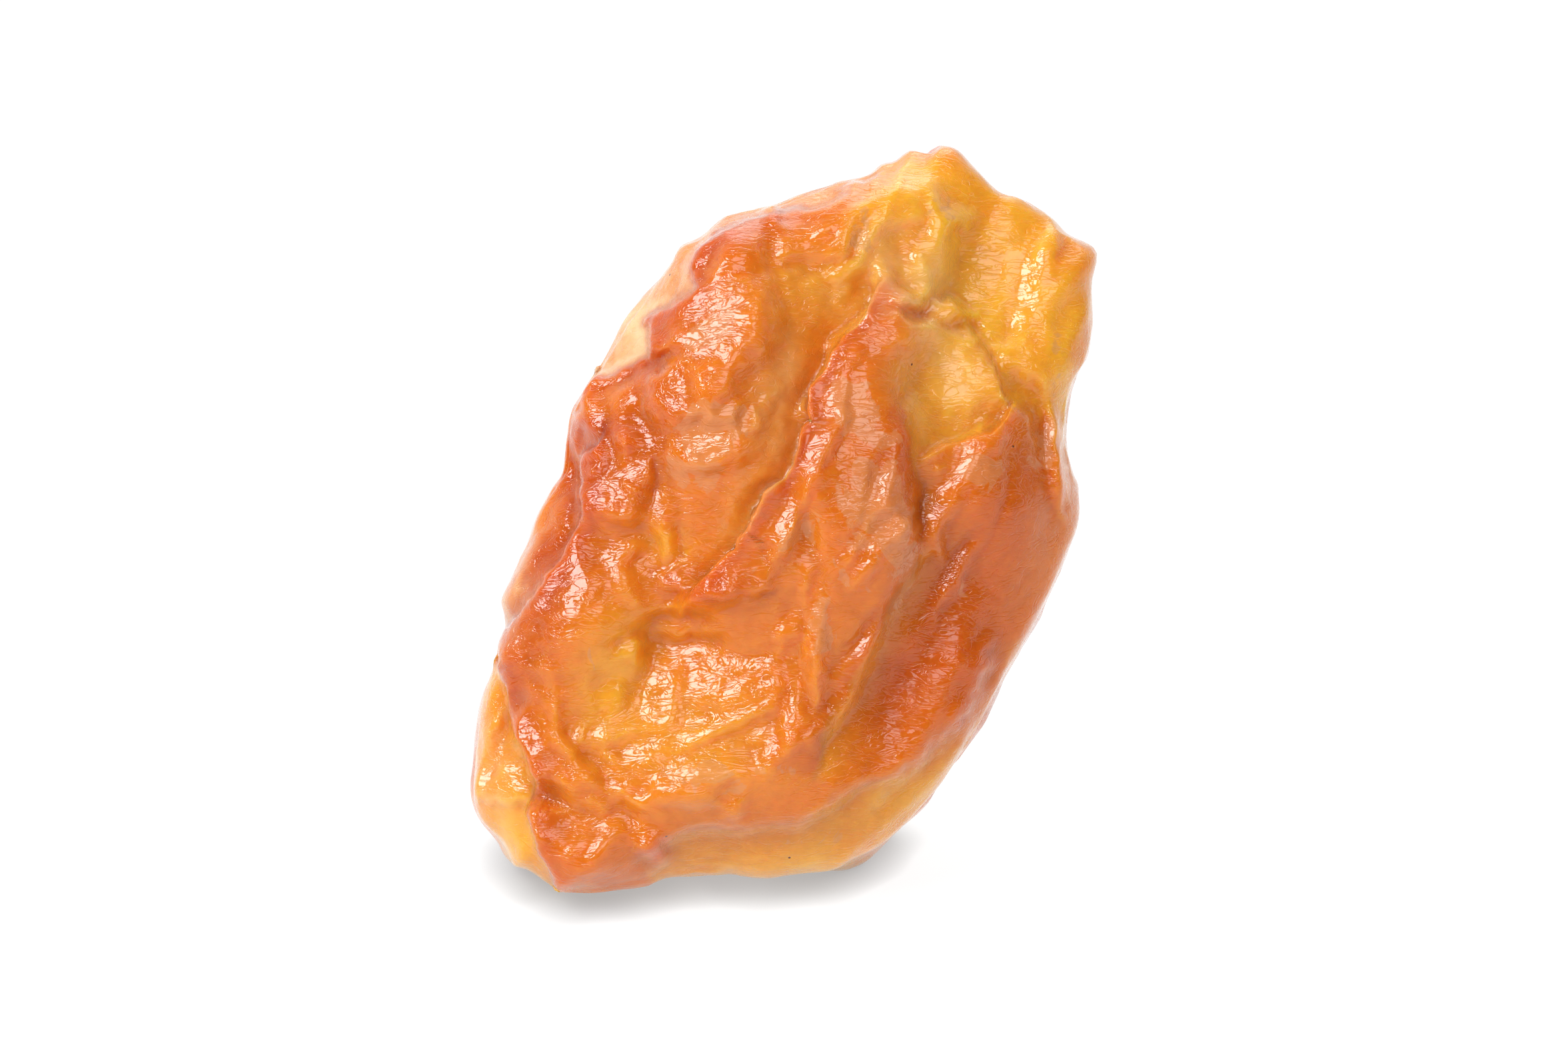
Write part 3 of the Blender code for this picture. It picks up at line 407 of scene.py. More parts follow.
# Height times exp(-(distance / half width)^1.25): a thin crest that swells and fades
def ridgeHeight(spots, ridges):
    rise = np.zeros(len(spots))
    for index, (points, height, halfWidth) in enumerate(ridges):
        curve = splineThrough(points)
        near = nearCurve(curve, spots, 6 * halfWidth)
        side, along, length, left = besideLine(curve, spots[near])
        ends = softStep(along, 0, 0.3 * length) * softStep(length - along, 0, 0.3 * length)
        uneven = 0.35 + 0.9 * wobble(along, 0.6, 30 + index)
        wide = halfWidth * (0.8 + 0.7 * wobble(along, 0.8, 130 + index))
        rise[near] += skin["ridgeShare"] * height * uneven * ends * np.exp(-(np.abs(side) / wide) ** 1.25)
    return rise


def alongRaisin(place):  # the way along the raisin's long axis, and the way beside it
    c, s = math.cos(skin["longAxis"]), math.sin(skin["longAxis"])
    return place[:, 0] * c + place[:, 1] * s, place[:, 1] * c - place[:, 0] * s


def wandering(base, size, seed):  # three noises, one for each axis, that bend a pattern's cells
    return np.column_stack([smoothNoise(base / size, seed + k) - 0.5 for k in range(3)])


def longWrinkles(place, backShare):  # the CAD solid's own wrinkles: warped noise stretched along the raisin
    along, beside = alongRaisin(place)
    along = along / skin["wrinkleStretch"]
    wander = smoothNoise(np.column_stack([place[:, :2] / 4, along]), skin["wrinkleSeed"]) - 0.5
    spots = np.column_stack([beside + 2.2 * wander, along, place[:, 2]]) / skin["wrinkleSpacing"]
    swell = smoothNoise(spots * 0.8, skin["wrinkleSeed"] + 1) - 0.5
    crest = crestNoise(spots, skin["wrinkleSeed"] + 2, skin["crestWidth"])
    return between(skin["wrinkleHeight"], backShare) * (1.6 * swell + 0.7 * crest - 0.42)


def crumpled(spots, seed):  # minus the noise's distance from its middle: sharp crests between sloping flats
    return -np.hypot(2 * smoothNoise(spots, seed) - 1, 0.06)


# Crests at three cell sizes plus a ripple, each turned its own way and bent, in patches
def fineWrinkles(place):
    along, beside = alongRaisin(place)
    base = np.column_stack([along * 0.6, beside, place[:, 2]])
    wander = wandering(base, 1.4, 60)
    patch = softStep(smoothNoise(base / 2.2, 74), 0.3, 0.7)
    (large, high), (middle, lower), (small, lowest), (ripple, soft) = skin["crumple"].values()
    rise = high * crumpled(base / large + 0.9 * wander, 71) * (0.35 + 0.65 * patch)
    rise += lower * crumpled(turned(base, 0.7) / middle + 1.3 * wander, 72) * (0.3 + 0.7 * patch)
    rise += soft * (smoothNoise(turned(base, 1.3) / ripple + 0.8 * wander, 75) - 0.5)
    return rise + lowest * crumpled(turned(base, 1.9) / small + 0.8 * wander, 73) * patch


def backCrumple(place):  # two sizes of sharp crests between sloping flats, stretched along the raisin
    along, beside = alongRaisin(place)
    base = np.column_stack([along * 0.5, beside, place[:, 2]])
    wander = wandering(base, 2.4, 94)
    (large, high), (small, low), rise = skin["backCrumple"].values()
    patch = softStep(smoothNoise(base / 1.7, 98), 0.25, 0.7)
    return (high * crumpled(base / large + 1.1 * wander, 91) + rise
            + low * crumpled(turned(base, 0.5) / small + 1.6 * wander, 92) * patch)


def outwardNormals(place, faces):  # the sum of the cross products of a point's faces, made one unit long
    a, b, c, d = (place[faces[:, i]] for i in range(4))
    flat = np.cross(c - a, d - b)
    total = np.zeros_like(place)
    for i in range(4):
        for k in range(3):
            total[:, k] += np.bincount(faces[:, i], flat[:, k], len(place))
    return total / np.maximum(np.linalg.norm(total, axis=1, keepdims=True), 1e-12)


# Leans the face back, sags the pads and lifts the skin between them; near the floor the height turns flat
# along a hyperbola
def standOnFloor(place):
    c, s = math.cos(body["lean"]), math.sin(body["lean"])
    x, y, z = place.T
    standing = np.column_stack([x, y * s - z * c, y * c + z * s])
    height = standing[:, 2]
    under = 1 - softStep(height, *body["sagHeights"])
    nearPads = 0
    for padAcross, padBack, halfWidth, sag in body["pads"]:
        near = np.exp(-(((standing[:, :2] - (padAcross, padBack)) ** 2).sum(1)) / halfWidth ** 2)
        height = height - sag * near * under
        nearPads = nearPads + near
    level = body["hollow"] * (1 - softStep(nearPads, 0.2, 0.8))
    above = height - level
    rest = level + (above + np.hypot(above, body["floorSoftness"])) / 2 - body["floorSoftness"] / 4
    standing[:, 2] = np.maximum(rest, 0)
    standing[:, :2] -= body["middleOnFloor"]
    standing[:, 1] -= body["backPull"] * np.maximum(standing[:, 1] - body["backLimit"], 0)
    return standing


def evenTilts():  # tilts from the face's middle to the back's, evenly spaced along the skin on each half
    tilt = np.linspace(0, math.pi / 2, 400)
    tilts = []
    for depth, power, rings in skin["halves"].values():
        way = np.column_stack([skin["halfWidth"] * np.sin(tilt) ** power, depth * np.cos(tilt) ** power])
        length = np.concatenate([[0], np.cumsum(np.hypot(*np.diff(way, axis=0).T))])
        tilts.append(np.interp(np.linspace(0, length[-1], rings + 1), length, tilt))
    return np.concatenate([tilts[0][1:], (math.pi - tilts[1][::-1])[1:-1]])


def skinGrid():  # angle round the face's normal by tilt away from it, with one point at each pole
    tilts, around = evenTilts(), skin["around"]
    angle, tilt = np.meshgrid(np.linspace(0, 2 * math.pi, around, endpoint=False), tilts)
    angle = np.concatenate([[0], angle.ravel(), [0]])
    tilt = np.concatenate([[0], tilt.ravel(), [math.pi]])
    ring, step = np.meshgrid(np.arange(len(tilts) - 1), np.arange(around), indexing="ij")
    after = (step + 1) % around
    quads = np.stack([1 + ring * around + step, 1 + (ring + 1) * around + step,
                      1 + (ring + 1) * around + after, 1 + ring * around + after], axis=-1).reshape(-1, 4)
    step, after = np.arange(around), (np.arange(around) + 1) % around
    last = len(angle) - 1
    # The triangles at the poles, each as a four-cornered face with its pole named twice
    firstFan = np.column_stack([0 * step, 1 + step, 1 + after, 0 * step])
    lastFan = np.column_stack([last - around + step, 0 * step + last, 0 * step + last, last - around + after])
    return angle, tilt, quads, firstFan, lastFan


# The plain body, its swells, the long wrinkles, the back's laps and crumple, the face's laps and ridges, then
# the facets, and the fine crumple last
def foldedSkin():
    angle, tilt, quads, firstFan, lastFan = skinGrid()
    faces = np.vstack([firstFan, quads, lastFan])
    out = np.cos(tilt)
    place = plainBody(angle, tilt)
    away = outwardNormals(place, faces)
    front, back = softStep(out, -0.05, 0.22), softStep(-out, 0.1, 0.6)
    place[:, 2] += front * swellHeight(place[:, :2], frontSwells)
    place += away * (back * swellHeight(place[:, :2], backSwells))[:, None]
    small = longWrinkles(place, softStep(-out, 0.05, 0.5))
    backRise, _ = lapHeight(place[:, :2], backLaps, skin["backLapEdge"])
    small += back * (backRise + ridgeHeight(place[:, :2], backRidges))
    small += back * skin["backRoughness"] * fineWrinkles(place)
    small += softStep(-out, -0.25, 0.45) * backCrumple(place)
    place += away * small[:, None]
    face = place.copy()
    spots = face[:, :2].copy()
    for size, reach, seed in skin["warp"]:
        spots += 2 * reach * np.column_stack([smoothNoise(face / size, seed + k) - 0.5 for k in range(2)])
    rise, slide = lapHeight(spots, frontLaps, skin["lapEdge"])
    rise += ridgeHeight(spots, frontRidges)
    place[:, 2] += front * rise
    calm = flatten(place, spots)
    place[:, :2] += front[:, None] * slide
    fine = fineWrinkles(face) * (1 - skin["facetCalm"] * calm) * (1 - back)
    place += outwardNormals(place, faces) * fine[:, None]
    return place, face, spots, out, quads, firstFan, lastFan


# Colour of the face: centre across and up, half widths, turn, strength
tintPatches = {
    "red": [
        (-3.2, 14.6, 0.9, 1.6, 0, 0.6), (-1.5, 17.3, 1.6, 0.7, 15, 0.6), (-3.7, 12.2, 1.1, 1.5, 0, 0.8),
        (-5.0, 11.2, 0.7, 1.6, 0, 0.7), (-5.6, 8.8, 0.9, 1.1, -30, 0.8), (-6.3, 6.9, 0.9, 1.2, -30, 0.65),
        (-6.6, 4.3, 0.5, 1.6, 0, 0.35), (-6.1, 2.3, 0.4, 1.0, 0, 0.5), (-4.3, 0.5, 1.4, 0.6, 0, 0.6),
        (0.6, 12.4, 0.5, 1.2, 0, 0.3), (3.0, 12.0, 0.6, 1.6, 0, 0.5), (2.0, 15.6, 0.6, 0.8, 0, 0.4),
        (6.6, 11.6, 0.8, 1.5, 0, 0.5), (-2.0, 8.5, 1.0, 0.4, 0, 0.6), (-1.9, 15.2, 1.0, 1.0, 0, 0.25),
    ],
    # Golden flesh; the patches on the thin bottom shell and in the channel also paint the glow of light
    # shining through
    "yellow": [
        (5.3, 16.6, 2.0, 1.9, 0, 1.0), (5.3, 18.4, 1.6, 0.8, -25, 0.7), (7.2, 15.4, 0.9, 2.0, 0, 0.55),
        (3.2, 18.7, 1.1, 1.0, 0, 0.8), (2.4, 17.2, 0.8, 1.1, 0, 0.5), (4.4, 13.8, 1.2, 1.4, 0, 0.75),
        (1.2, 16.1, 1.2, 0.9, 0, 0.7), (-4.4, 6.2, 0.9, 1.7, 0, 0.7), (-2.2, 4.4, 2.6, 1.5, 0, 0.55),
        (-7.2, 2.0, 0.8, 1.1, 0, 0.5), (2.3, 2.3, 1.9, 0.8, 25, 0.6), (-0.2, 1.1, 2.0, 0.6, 8, 0.5),
        (2.4, 10.2, 0.5, 1.3, 0, 0.4), (-0.1, 12.6, 0.55, 2.2, -8, 0.3), (-0.9, 10.2, 0.5, 1.0, -30, 0.4),
        (3.0, 6.6, 0.7, 1.8, -25, 0.35), (7.4, 13.6, 0.4, 1.4, 0, 0.6), (-3.0, 9.4, 0.6, 0.4, 0, 0.5),
    ],
    # Painted glow: paler where light shines through the thin shell and rims, and in shaded hollows and
    # channels that it lightens
    "paintedGlow": [
        (-7.7, 3.2, 0.6, 2.0, 0, 0.5), (-7.1, 7.9, 0.5, 0.8, 0, 0.7), (-6.8, 9.6, 0.4, 0.8, 0, 0.6),
        (-1.5, 0.6, 2.2, 0.3, 0, 0.25), (4.1, 13.7, 1.0, 0.9, 0, 0.3), (4.0, 16.0, 0.6, 1.1, 0, 0.3),
        (-0.2, 12.8, 0.6, 2.0, -8, 0.35), (-0.9, 10.4, 0.5, 1.2, -25, 0.2),
        (2.9, 16.4, 0.8, 1.2, 0, 0.35), (1.1, 15.9, 0.8, 0.6, 0, 0.2),
    ],
    # Partly the flesh's deeper colour, partly painted shade: in channels, creases and hollows, under folds,
    # and a painted shadow over the lower right
    "deepColourAndShade": [
        (2.2, 10.6, 1.0, 2.6, -10, 0.35), (3.0, 5.8, 1.0, 2.6, -20, 0.9), (4.6, 8.6, 1.2, 2.0, 0, 0.45),
        (6.0, 10.4, 1.2, 1.8, 0, 0.6), (5.2, 6.2, 1.2, 2.4, -20, 0.6),
        (0.0, 1.6, 2.2, 0.7, 10, 0.35), (3.9, 10.6, 0.4, 1.6, 0, 0.4), (-3.2, 1.1, 0.6, 0.5, 0, 0.7),
    ],
    # Painted sheen: lighter, paler patches where the lamps' broad reflection falls
    "film": [
        (-1.8, 15.0, 1.2, 0.9, 30, 0.6), (-1.6, 12.6, 1.7, 1.0, 0, 0.6), (-2.2, 11.2, 1.0, 0.7, 0, 0.5),
        (2.3, 10.6, 1.1, 2.8, -10, 0.6), (1.7, 13.2, 0.6, 0.9, 0, 0.45), (3.2, 8.9, 0.5, 1.5, 0, 0.4),
        (5.3, 11.4, 1.0, 0.8, 0, 0.55), (6.9, 12.2, 0.5, 1.2, 0, 0.5), (4.5, 8.3, 0.7, 1.2, 0, 0.4),
        (0.0, 9.3, 0.6, 1.3, -40, 0.5), (1.0, 7.0, 0.5, 1.6, 0, 0.5), (-1.5, 3.3, 2.6, 0.6, 8, 0.55),
        (-4.6, 6.4, 0.9, 1.2, 0, 0.3), (-4.4, 1.4, 1.2, 0.9, 0, 0.25),
        (0.9, 1.7, 1.6, 0.5, 10, 0.4), (2.2, 17.4, 0.8, 0.9, 0, 0.5), (4.0, 18.2, 0.8, 0.7, 0, 0.5),
        (6.6, 16.4, 0.5, 1.2, -30, 0.4), (-2.0, 16.9, 0.6, 0.4, 0, 0.5), (7.2, 14.4, 0.4, 1.4, 0, 0.4),
    ],
}
# Colour on one side of a lap's edge: lap, tint, strength, reach (above 0 on its low side, below 0 on its top)
# The deep band under the bottom fold is painted shade
lapTints = [
    (5, "red", 0.7, 0.9), (6, "yellow", 0.5, 1.8), (7, "deepColourAndShade", 0.25, 0.45), (7, "yellow", 0.5, 2.0),
    (3, "yellow", 0.55, 1.6), (2, "yellow", 0.5, 1.5), (1, "yellow", 0.2, 0.8), (4, "yellow", 0.35, 0.6),
    (4, "yellow", -0.7, -1.2), (1, "yellow", -0.5, -0.9), (1, "deepColourAndShade", 0.3, -0.8), (6, "red", 0.3, -0.6),
]
# Red glow and thin dark line along a lap's edge, the line partly painted shade where the fold overlaps: lap,
# glow, its width, line, its width, its place
lapLines = [
    (0, 0.5, 0.35, 0.35, 0.07, 0.0), (1, 0.25, 0.25, 0.3, 0.12, 0.2), (1, 0.0, 0.3, 0.7, 0.06, -0.07),
    (2, 0.3, 0.3, 0.3, 0.08, 0.05), (3, 0.2, 0.3, 0.3, 0.07, -0.05), (4, 0.4, 0.3, 0.35, 0.1, -0.08),
    (5, 0.7, 0.3, 0.75, 0.09, 0.0), (6, 0.35, 0.3, 0.7, 0.08, 0.0), (7, 0.3, 0.4, 0.2, 0.07, 0.0),
    (8, 0.3, 0.3, 0.4, 0.08, -0.05),
]


# Signed distance from a lap's edge, the way along it, and a share that fades out towards its ends
def besideLap(lap, spots, softStart=0.5, softEnd=0.5):
    side, along, length, left = besideLine(splineThrough(lap[0]), spots)
    return side, along, softStep(along, 0, softStart) * softStep(length - along, 0, softEnd)


# Redness, yellowness, painted glow, deeper colour with painted shade, and painted sheen at each point: sums
# of turned
# Gaussian patches, of bands along the laps and, on the back, of noise and of the crumple's own height
def tintMasks(face, spots, out):
    front = softStep(out, -0.1, 0.2)
    red, yellow, paintedGlow, deepColourAndShade, film = (front * swellHeight(spots, rows) for rows in tintPatches.values())
    # Fold edges are redder, and the shell beyond the top fold gets a painted glow, for the light that shines
    # through its thin skin
    edge = np.zeros(len(face))
    tints = {"red": red, "yellow": yellow, "deepColourAndShade": deepColourAndShade}
    for index, name, share, reach in lapTints:
        side, along, ends = besideLap(frontLaps[index], spots)
        beyond = -side if reach > 0 else side
        tints[name] += front * share * ends * softStep(beyond, -0.02, 0.1) * np.exp(-((side / reach) ** 2))
    for index, glow, width, line, lineWidth, lineAt in lapLines:
        side, along, ends = besideLap(frontLaps[index], spots)
        red += front * glow * ends * np.exp(-(((side - 0.1) / width) ** 2))
        broken = softStep(wobble(along, 0.7, 90 + index), 0.15, 0.6)
        # The dark line: partly the fold's dark-red skin, partly painted shade at its foot
        edge += front * line * ends * broken * np.exp(-(((side - lineAt) / lineWidth) ** 2))
        if index == 0:  # the shell beyond the top fold
            start = face[:, 1] + 2.2 * smoothNoise(face / 1.5, 85) - 1.1
            beyond = softStep(-side, 0.0, 0.25) * ends * softStep(start, 12.3, 13.8)
            paintedGlow += softStep(out, -0.4, 0.05) * beyond * (1 - 0.75 * softStep(face[:, 1], 15.8, 17.0))
            red *= 1 - beyond
            edge += 0.45 * beyond * np.exp(-(((out - 0.02) / 0.07) ** 2))
    # Painted glow along the rim, where light from behind shines through
    paintedGlow += 0.3 * np.exp(-(((out - 0.03) / 0.1) ** 2)) * softStep(smoothNoise(face / 1.8, 83), 0.2, 0.7)
    # On the back, random drifts of red and yellow; its fold edges are redder too, and its crests redder and
    # hollows darker, painted shade that draws the crumple's relief
    cloud, relief = smoothNoise(face / 4.0, 81), backCrumple(face)
    red += (1 - front) * (0.55 * softStep(cloud, 0.45, 0.85) + 0.5 * softStep(relief, 0.0, 0.13))
    yellow += (1 - front) * 0.8 * softStep(1 - cloud, 0.55, 0.9)
    deepColourAndShade += (1 - front) * 0.6 * softStep(-relief, 0.05, 0.25)
    for lap in backLaps:
        side, along, ends = besideLap(lap, face[:, :2], *lap[3:5])
        behind = ends * softStep(-out, 0.1, 0.4)
        red += 0.6 * behind * np.exp(-(((side - 0.25) / 0.45) ** 2))
        # A dark line along the back's folds, partly painted shade
        edge += 0.25 * behind * np.exp(-(((side - 0.15) / 0.25) ** 2))
    # Painted sheen on the back too, in random patches
    film = film * (1 - paintedGlow) + (1 - front) * 0.25 * softStep(smoothNoise(face / 2.6, 87), 0.4, 0.8)
    masks = np.clip(np.column_stack([red, yellow, paintedGlow, deepColourAndShade]), 0, 1)
    return masks, np.clip(edge, 0, 1), np.clip(film, 0, 0.8)


def makeSkin():  # the mesh of the folded skin, with its colours as point attributes
    place, face, spots, out, quads, firstFan, lastFan = foldedSkin()
    masks, edge, film = tintMasks(face, spots, out)
    corners = standOnFloor(place) * mm
    triangles = np.vstack([firstFan[:, :3], lastFan[:, [0, 1, 3]]]).tolist()
    mesh = bpy.data.meshes.new("raisinSkin")
    mesh.from_pydata(corners, [], triangles + quads.tolist())
    mesh.shade_smooth()
    tint = mesh.attributes.new("tint", "FLOAT_COLOR", "POINT")
    tint.data.foreach_set("color", masks.astype(np.float32).ravel())
    for name, values in (("edge", edge), ("film", film)):
        mesh.attributes.new(name, "FLOAT", "POINT").data.foreach_set("value", values.astype(np.float32))
    piece = bpy.data.objects.new("raisinSkin", mesh)
    bpy.context.scene.collection.objects.link(piece)
    print("skin made:", len(mesh.vertices), "points")
    return piece


def linear(hexColour):  # sRGB hex to linear: the standard's power curve with its straight foot
    channels = [int(hexColour[i:i + 2], 16) / 255 for i in (0, 2, 4)]
    return tuple(c / 12.92 if c <= 0.04045 else ((c + 0.055) / 1.055) ** 2.4 for c in channels) + (1.0,)


def addNode(tree, kind, settings=None, inputs=None):  # inputs are values, or (node, output) pairs to link
    node = tree.nodes.new("ShaderNode" + kind)
    for name, value in (settings or {}).items():
        setattr(node, name, value)
    for name, value in (inputs or {}).items():
        socket = node.inputs[name]
        if isinstance(value, tuple) and len(value) == 2 and isinstance(value[0], bpy.types.Node):
            tree.links.new(value[0].outputs[value[1]], socket)
        else:
            socket.default_value = value
    return node


# Colours in sRGB hex, lengths in mm
flesh = {
    # Of these colours, the glow through thin skin, part of the deep orange, part of the dark edge line and
    # the sheen patches are painted light and shade
    "orange": "ee851e", "red": "cf5a14", "yellow": "ffb634", "deepColourAndShade": "d2590c", "paintedGlow": "fdd09a",
    "edge": "a0341a", "film": "e29c6c", "speck": "7a3a18",
    "paintedSheenShare": 0.4,  # how strongly the painted sheen's patches cover the flesh
    "cloud": 1.4,      # size of the drifts of colour
    "mottle": 0.28,    # of the speckle in the flesh
    "mottleShade": (0.84, 0.93),
    "ripple": 0.55,    # of the undulations of the wet skin
    "rippleHeight": 0.035,
    "lace": 1.0,       # of the patches of painted sheen
    "paintedSheenEdge": (0.92, 0.96),
    "crease": (1.5, 0.5),  # length and width of the cells between the fine creases
    "creaseHeight": 0.008,
    "creaseKinds": ((1.0, 0.045), (2.3, 0.06)),  # how many times finer than that, and how wide a groove
    "grain": 0.09,     # of the sugar grain, really about 0.02: drawn coarser, so that it shows
    "grainHeight": 0.004,
    "speckGap": 1.7, "speckSize": 0.035,  # of the dark pores
    "roughness": (0.2, 0.42),  # under the wet coat, from one drift of colour to the next
    "reach": (1.0, 0.72, 0.3),  # how far each colour travels, times scatter
    "scatter": 1.3,
}


# Dried golden grape: clear amber flesh that light travels through, under a wet, sticky skin that mirrors the
# lamps sharply, with patches of painted sheen for the lamps' broad reflection
def makeDriedGrapeSkin():
    material = bpy.data.materials.new("driedGrapeSkin")
    material.use_nodes = True
    tree = material.node_tree
    tree.nodes.clear()
    add = lambda kind, settings=None, inputs=None: addNode(tree, kind, settings, inputs)
    scale = lambda name: 1 / (flesh[name] * mm)
    clamp = {"operation": "MULTIPLY", "use_clamp": True}
    mix = {"data_type": "RGBA"}
    tint = add("Attribute", {"attribute_name": "tint"})
    masks = add("SeparateColor", inputs={"Color": (tint, "Color")})
    where = add("TexCoord")
    place = (where, "Object")
    cloud = add("TexNoise", inputs={"Vector": place, "Scale": scale("cloud"), "Detail": 5.0})
    mottle = add("TexNoise", inputs={"Vector": place, "Scale": scale("mottle"), "Detail": 3.0})
    edge = add("Attribute", {"attribute_name": "edge"})
    patchy = add("Math", {"operation": "MULTIPLY_ADD"}, {0: (cloud, 0), 1: 1.5, 2: 0.25})
    redShare = add("Math", clamp, {0: (masks, 0), 1: (patchy, 0)})
    yellowShare = add("Math", clamp, {0: (masks, 1), 1: (patchy, 0)})
    colour = add("Mix", mix, {
        0: (redShare, 0), 6: linear(flesh["orange"]), 7: linear(flesh["red"])})
    colour = add("Mix", mix, {0: (yellowShare, 0), 6: (colour, 2), 7: linear(flesh["yellow"])})
    # Painted shade in channels, creases and hollows, over the flesh's deeper colour
    colour = add("Mix", mix, {0: (tint, "Alpha"), 6: (colour, 2), 7: linear(flesh["deepColourAndShade"])})
    # Painted glow: the pale colour where light shines through the thin shell
    paintedGlowShare = add("MapRange", inputs={
        "Value": (cloud, 0), "From Min": 0.42, "From Max": 0.56, "To Min": 0.35})
    paintedGlowShare = add("Math", clamp, {0: (paintedGlowShare, 0), 1: (masks, 2)})
    colour = add("Mix", mix, {0: (paintedGlowShare, 0), 6: (colour, 2), 7: linear(flesh["paintedGlow"])})
    # Dark red line along the folds, partly painted shade
    colour = add("Mix", mix, {0: (edge, "Fac"), 6: (colour, 2), 7: linear(flesh["edge"])})
    darkest, lightest = flesh["mottleShade"]
    shade = add("MapRange", inputs={
        "Value": (mottle, 0), "From Min": 0.3, "From Max": 0.7, "To Min": darkest, "To Max": lightest})
    # Painted sheen: lacy patches of a lighter colour in place of the lamps' broad reflection
    film = add("Attribute", {"attribute_name": "film"})
    lace = add("TexNoise", inputs={
        "Vector": place, "Scale": scale("lace"), "Detail": 4.0, "Roughness": 0.55, "Distortion": 0.9})
    cover = add("Math", {"operation": "ADD"}, {0: (film, "Fac"), 1: (lace, 0)})
    sheenStart, sheenFull = flesh["paintedSheenEdge"]
    cover = add("MapRange", inputs={"Value": (cover, 0), "From Min": sheenStart, "From Max": sheenFull})
    veil = add("Math", clamp, {0: (cover, 0), 1: flesh["paintedSheenShare"]})
    colour = add("Mix", mix, {0: (veil, 0), 6: (colour, 2), 7: linear(flesh["film"])})
    dust = add("TexVoronoi", inputs={"Vector": place, "Scale": scale("speckGap")})
    speck = add("Math", {"operation": "LESS_THAN"},
                {0: (dust, "Distance"), 1: flesh["speckSize"] / flesh["speckGap"]})
    colour = add("Mix", mix, {0: (speck, 0), 6: (colour, 2), 7: linear(flesh["speck"])})
    colour = add("VectorMath", {"operation": "SCALE"}, {0: (colour, 2), "Scale": (shade, 0)})
    ripple = add("TexNoise", inputs={
        "Vector": place, "Scale": scale("ripple"), "Detail": 5.0, "Roughness": 0.47, "Distortion": 0.5})
    grain = add("TexNoise", inputs={"Vector": place, "Scale": scale("grain"), "Detail": 2.0})
    long, wide = (1 / (size * mm) for size in flesh["crease"])
    along = add("Mapping", {"vector_type": "POINT"}, {
        "Vector": place, "Rotation": (0, -skin["longAxis"], 0), "Scale": (long, wide, wide)})
    creases = []
    for size, width in flesh["creaseKinds"]:  # thin grooves where a noise crosses its middle
        field = add("TexNoise", inputs={
            "Vector": (along, 0), "Scale": size, "Detail": 2.0, "Distortion": 1.2})
        fold = add("Math", {"operation": "PINGPONG"}, {0: (field, 0), 1: 0.5})
        creases.append(add("MapRange", inputs={
            "Value": (fold, 0), "From Min": 0.5 - width, "From Max": 0.5, "To Min": 1.0, "To Max": 0.0}))
    crease = add("Math", {"operation": "MULTIPLY_ADD"}, {
        0: (creases[1], 0), 1: 0.6, 2: (creases[0], 0)})
    sticky = add("MapRange", inputs={"Value": (cloud, 0), "From Min": 0.42, "From Max": 0.6})
    grainy = add("Math", {"operation": "MULTIPLY"}, {0: (grain, 0), 1: (sticky, 0)})
    lowBump = add("Bump", inputs={
        "Height": (ripple, 0), "Distance": flesh["rippleHeight"] * mm, "Strength": 0.8})
    foldBump = add("Bump", inputs={
        "Height": (crease, 0), "Distance": flesh["creaseHeight"] * mm, "Strength": 0.9,
        "Normal": (lowBump, 0)})
    fineBump = add("Bump", inputs={
        "Height": (grainy, 0), "Distance": flesh["grainHeight"] * mm, "Strength": 0.9,
        "Normal": (foldBump, 0)})
    smoothest, roughest = flesh["roughness"]
    rough = add("MapRange", inputs={
        "Value": (cloud, 0), "From Min": 0.35, "From Max": 0.65, "To Min": smoothest, "To Max": roughest})
    thick = add("MapRange", inputs={"Value": (masks, 2), "To Min": 1.0, "To Max": 0.3})
    thick = add("Math", {"operation": "MULTIPLY_ADD", "use_clamp": True}, {
        0: (cover, 0), 1: -0.5, 2: (thick, 0)})
    shader = add("BsdfPrincipled", {"subsurface_method": "RANDOM_WALK"}, {
        "Base Color": (colour, 0), "Roughness": (rough, 0), "IOR": 1.42, "Normal": (fineBump, 0),
        "Subsurface Weight": (thick, 0), "Subsurface Radius": flesh["reach"],
        "Subsurface Scale": flesh["scatter"] * mm, "Specular IOR Level": 0.1,
        "Coat Weight": 1.0, "Coat Roughness": 0.03, "Coat IOR": 1.5, "Coat Normal": (fineBump, 0),
    })
    add("OutputMaterial", inputs={"Surface": (shader, 0)})
    return material


raisinSkin = makeSkin()
raisinSkin.data.materials.append(makeDriedGrapeSkin())
print("skin coloured:", raisinSkin.data.materials[0].name)
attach(raisinSkin, "root")
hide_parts("raisin")


# Lengths in metres and lamp powers in watts, apart from nearShade and aim in mm
studio = {
    "floorWidth": 2.0,
    "floorColour": "5a5a5a", "floorGlow": 0.93,  # a light table: it glows white, and reflects only a little
    "nearShade": 1.0, "shadeShare": 0.45,        # reach and depth of the soft shade where the raisin stands
    "frontSky": 0.07, "backSky": 0.85,           # the room's light in front of the table and behind it
    "softboxes": {
        "key": {"at": (-0.296, -0.249, 0.357), "size": 0.235, "power": 2.1},
        "front": {"at": (0.08, -0.42, 0.38), "size": 0.3, "power": 1.0},
        "back": {"at": (0.02, 0.32, 0.36), "size": 0.35, "power": 0.75},
    },
    "cameraDistance": 0.30, "lens": 262.0, "aim": (0.0, 0.0, 9.3),
}


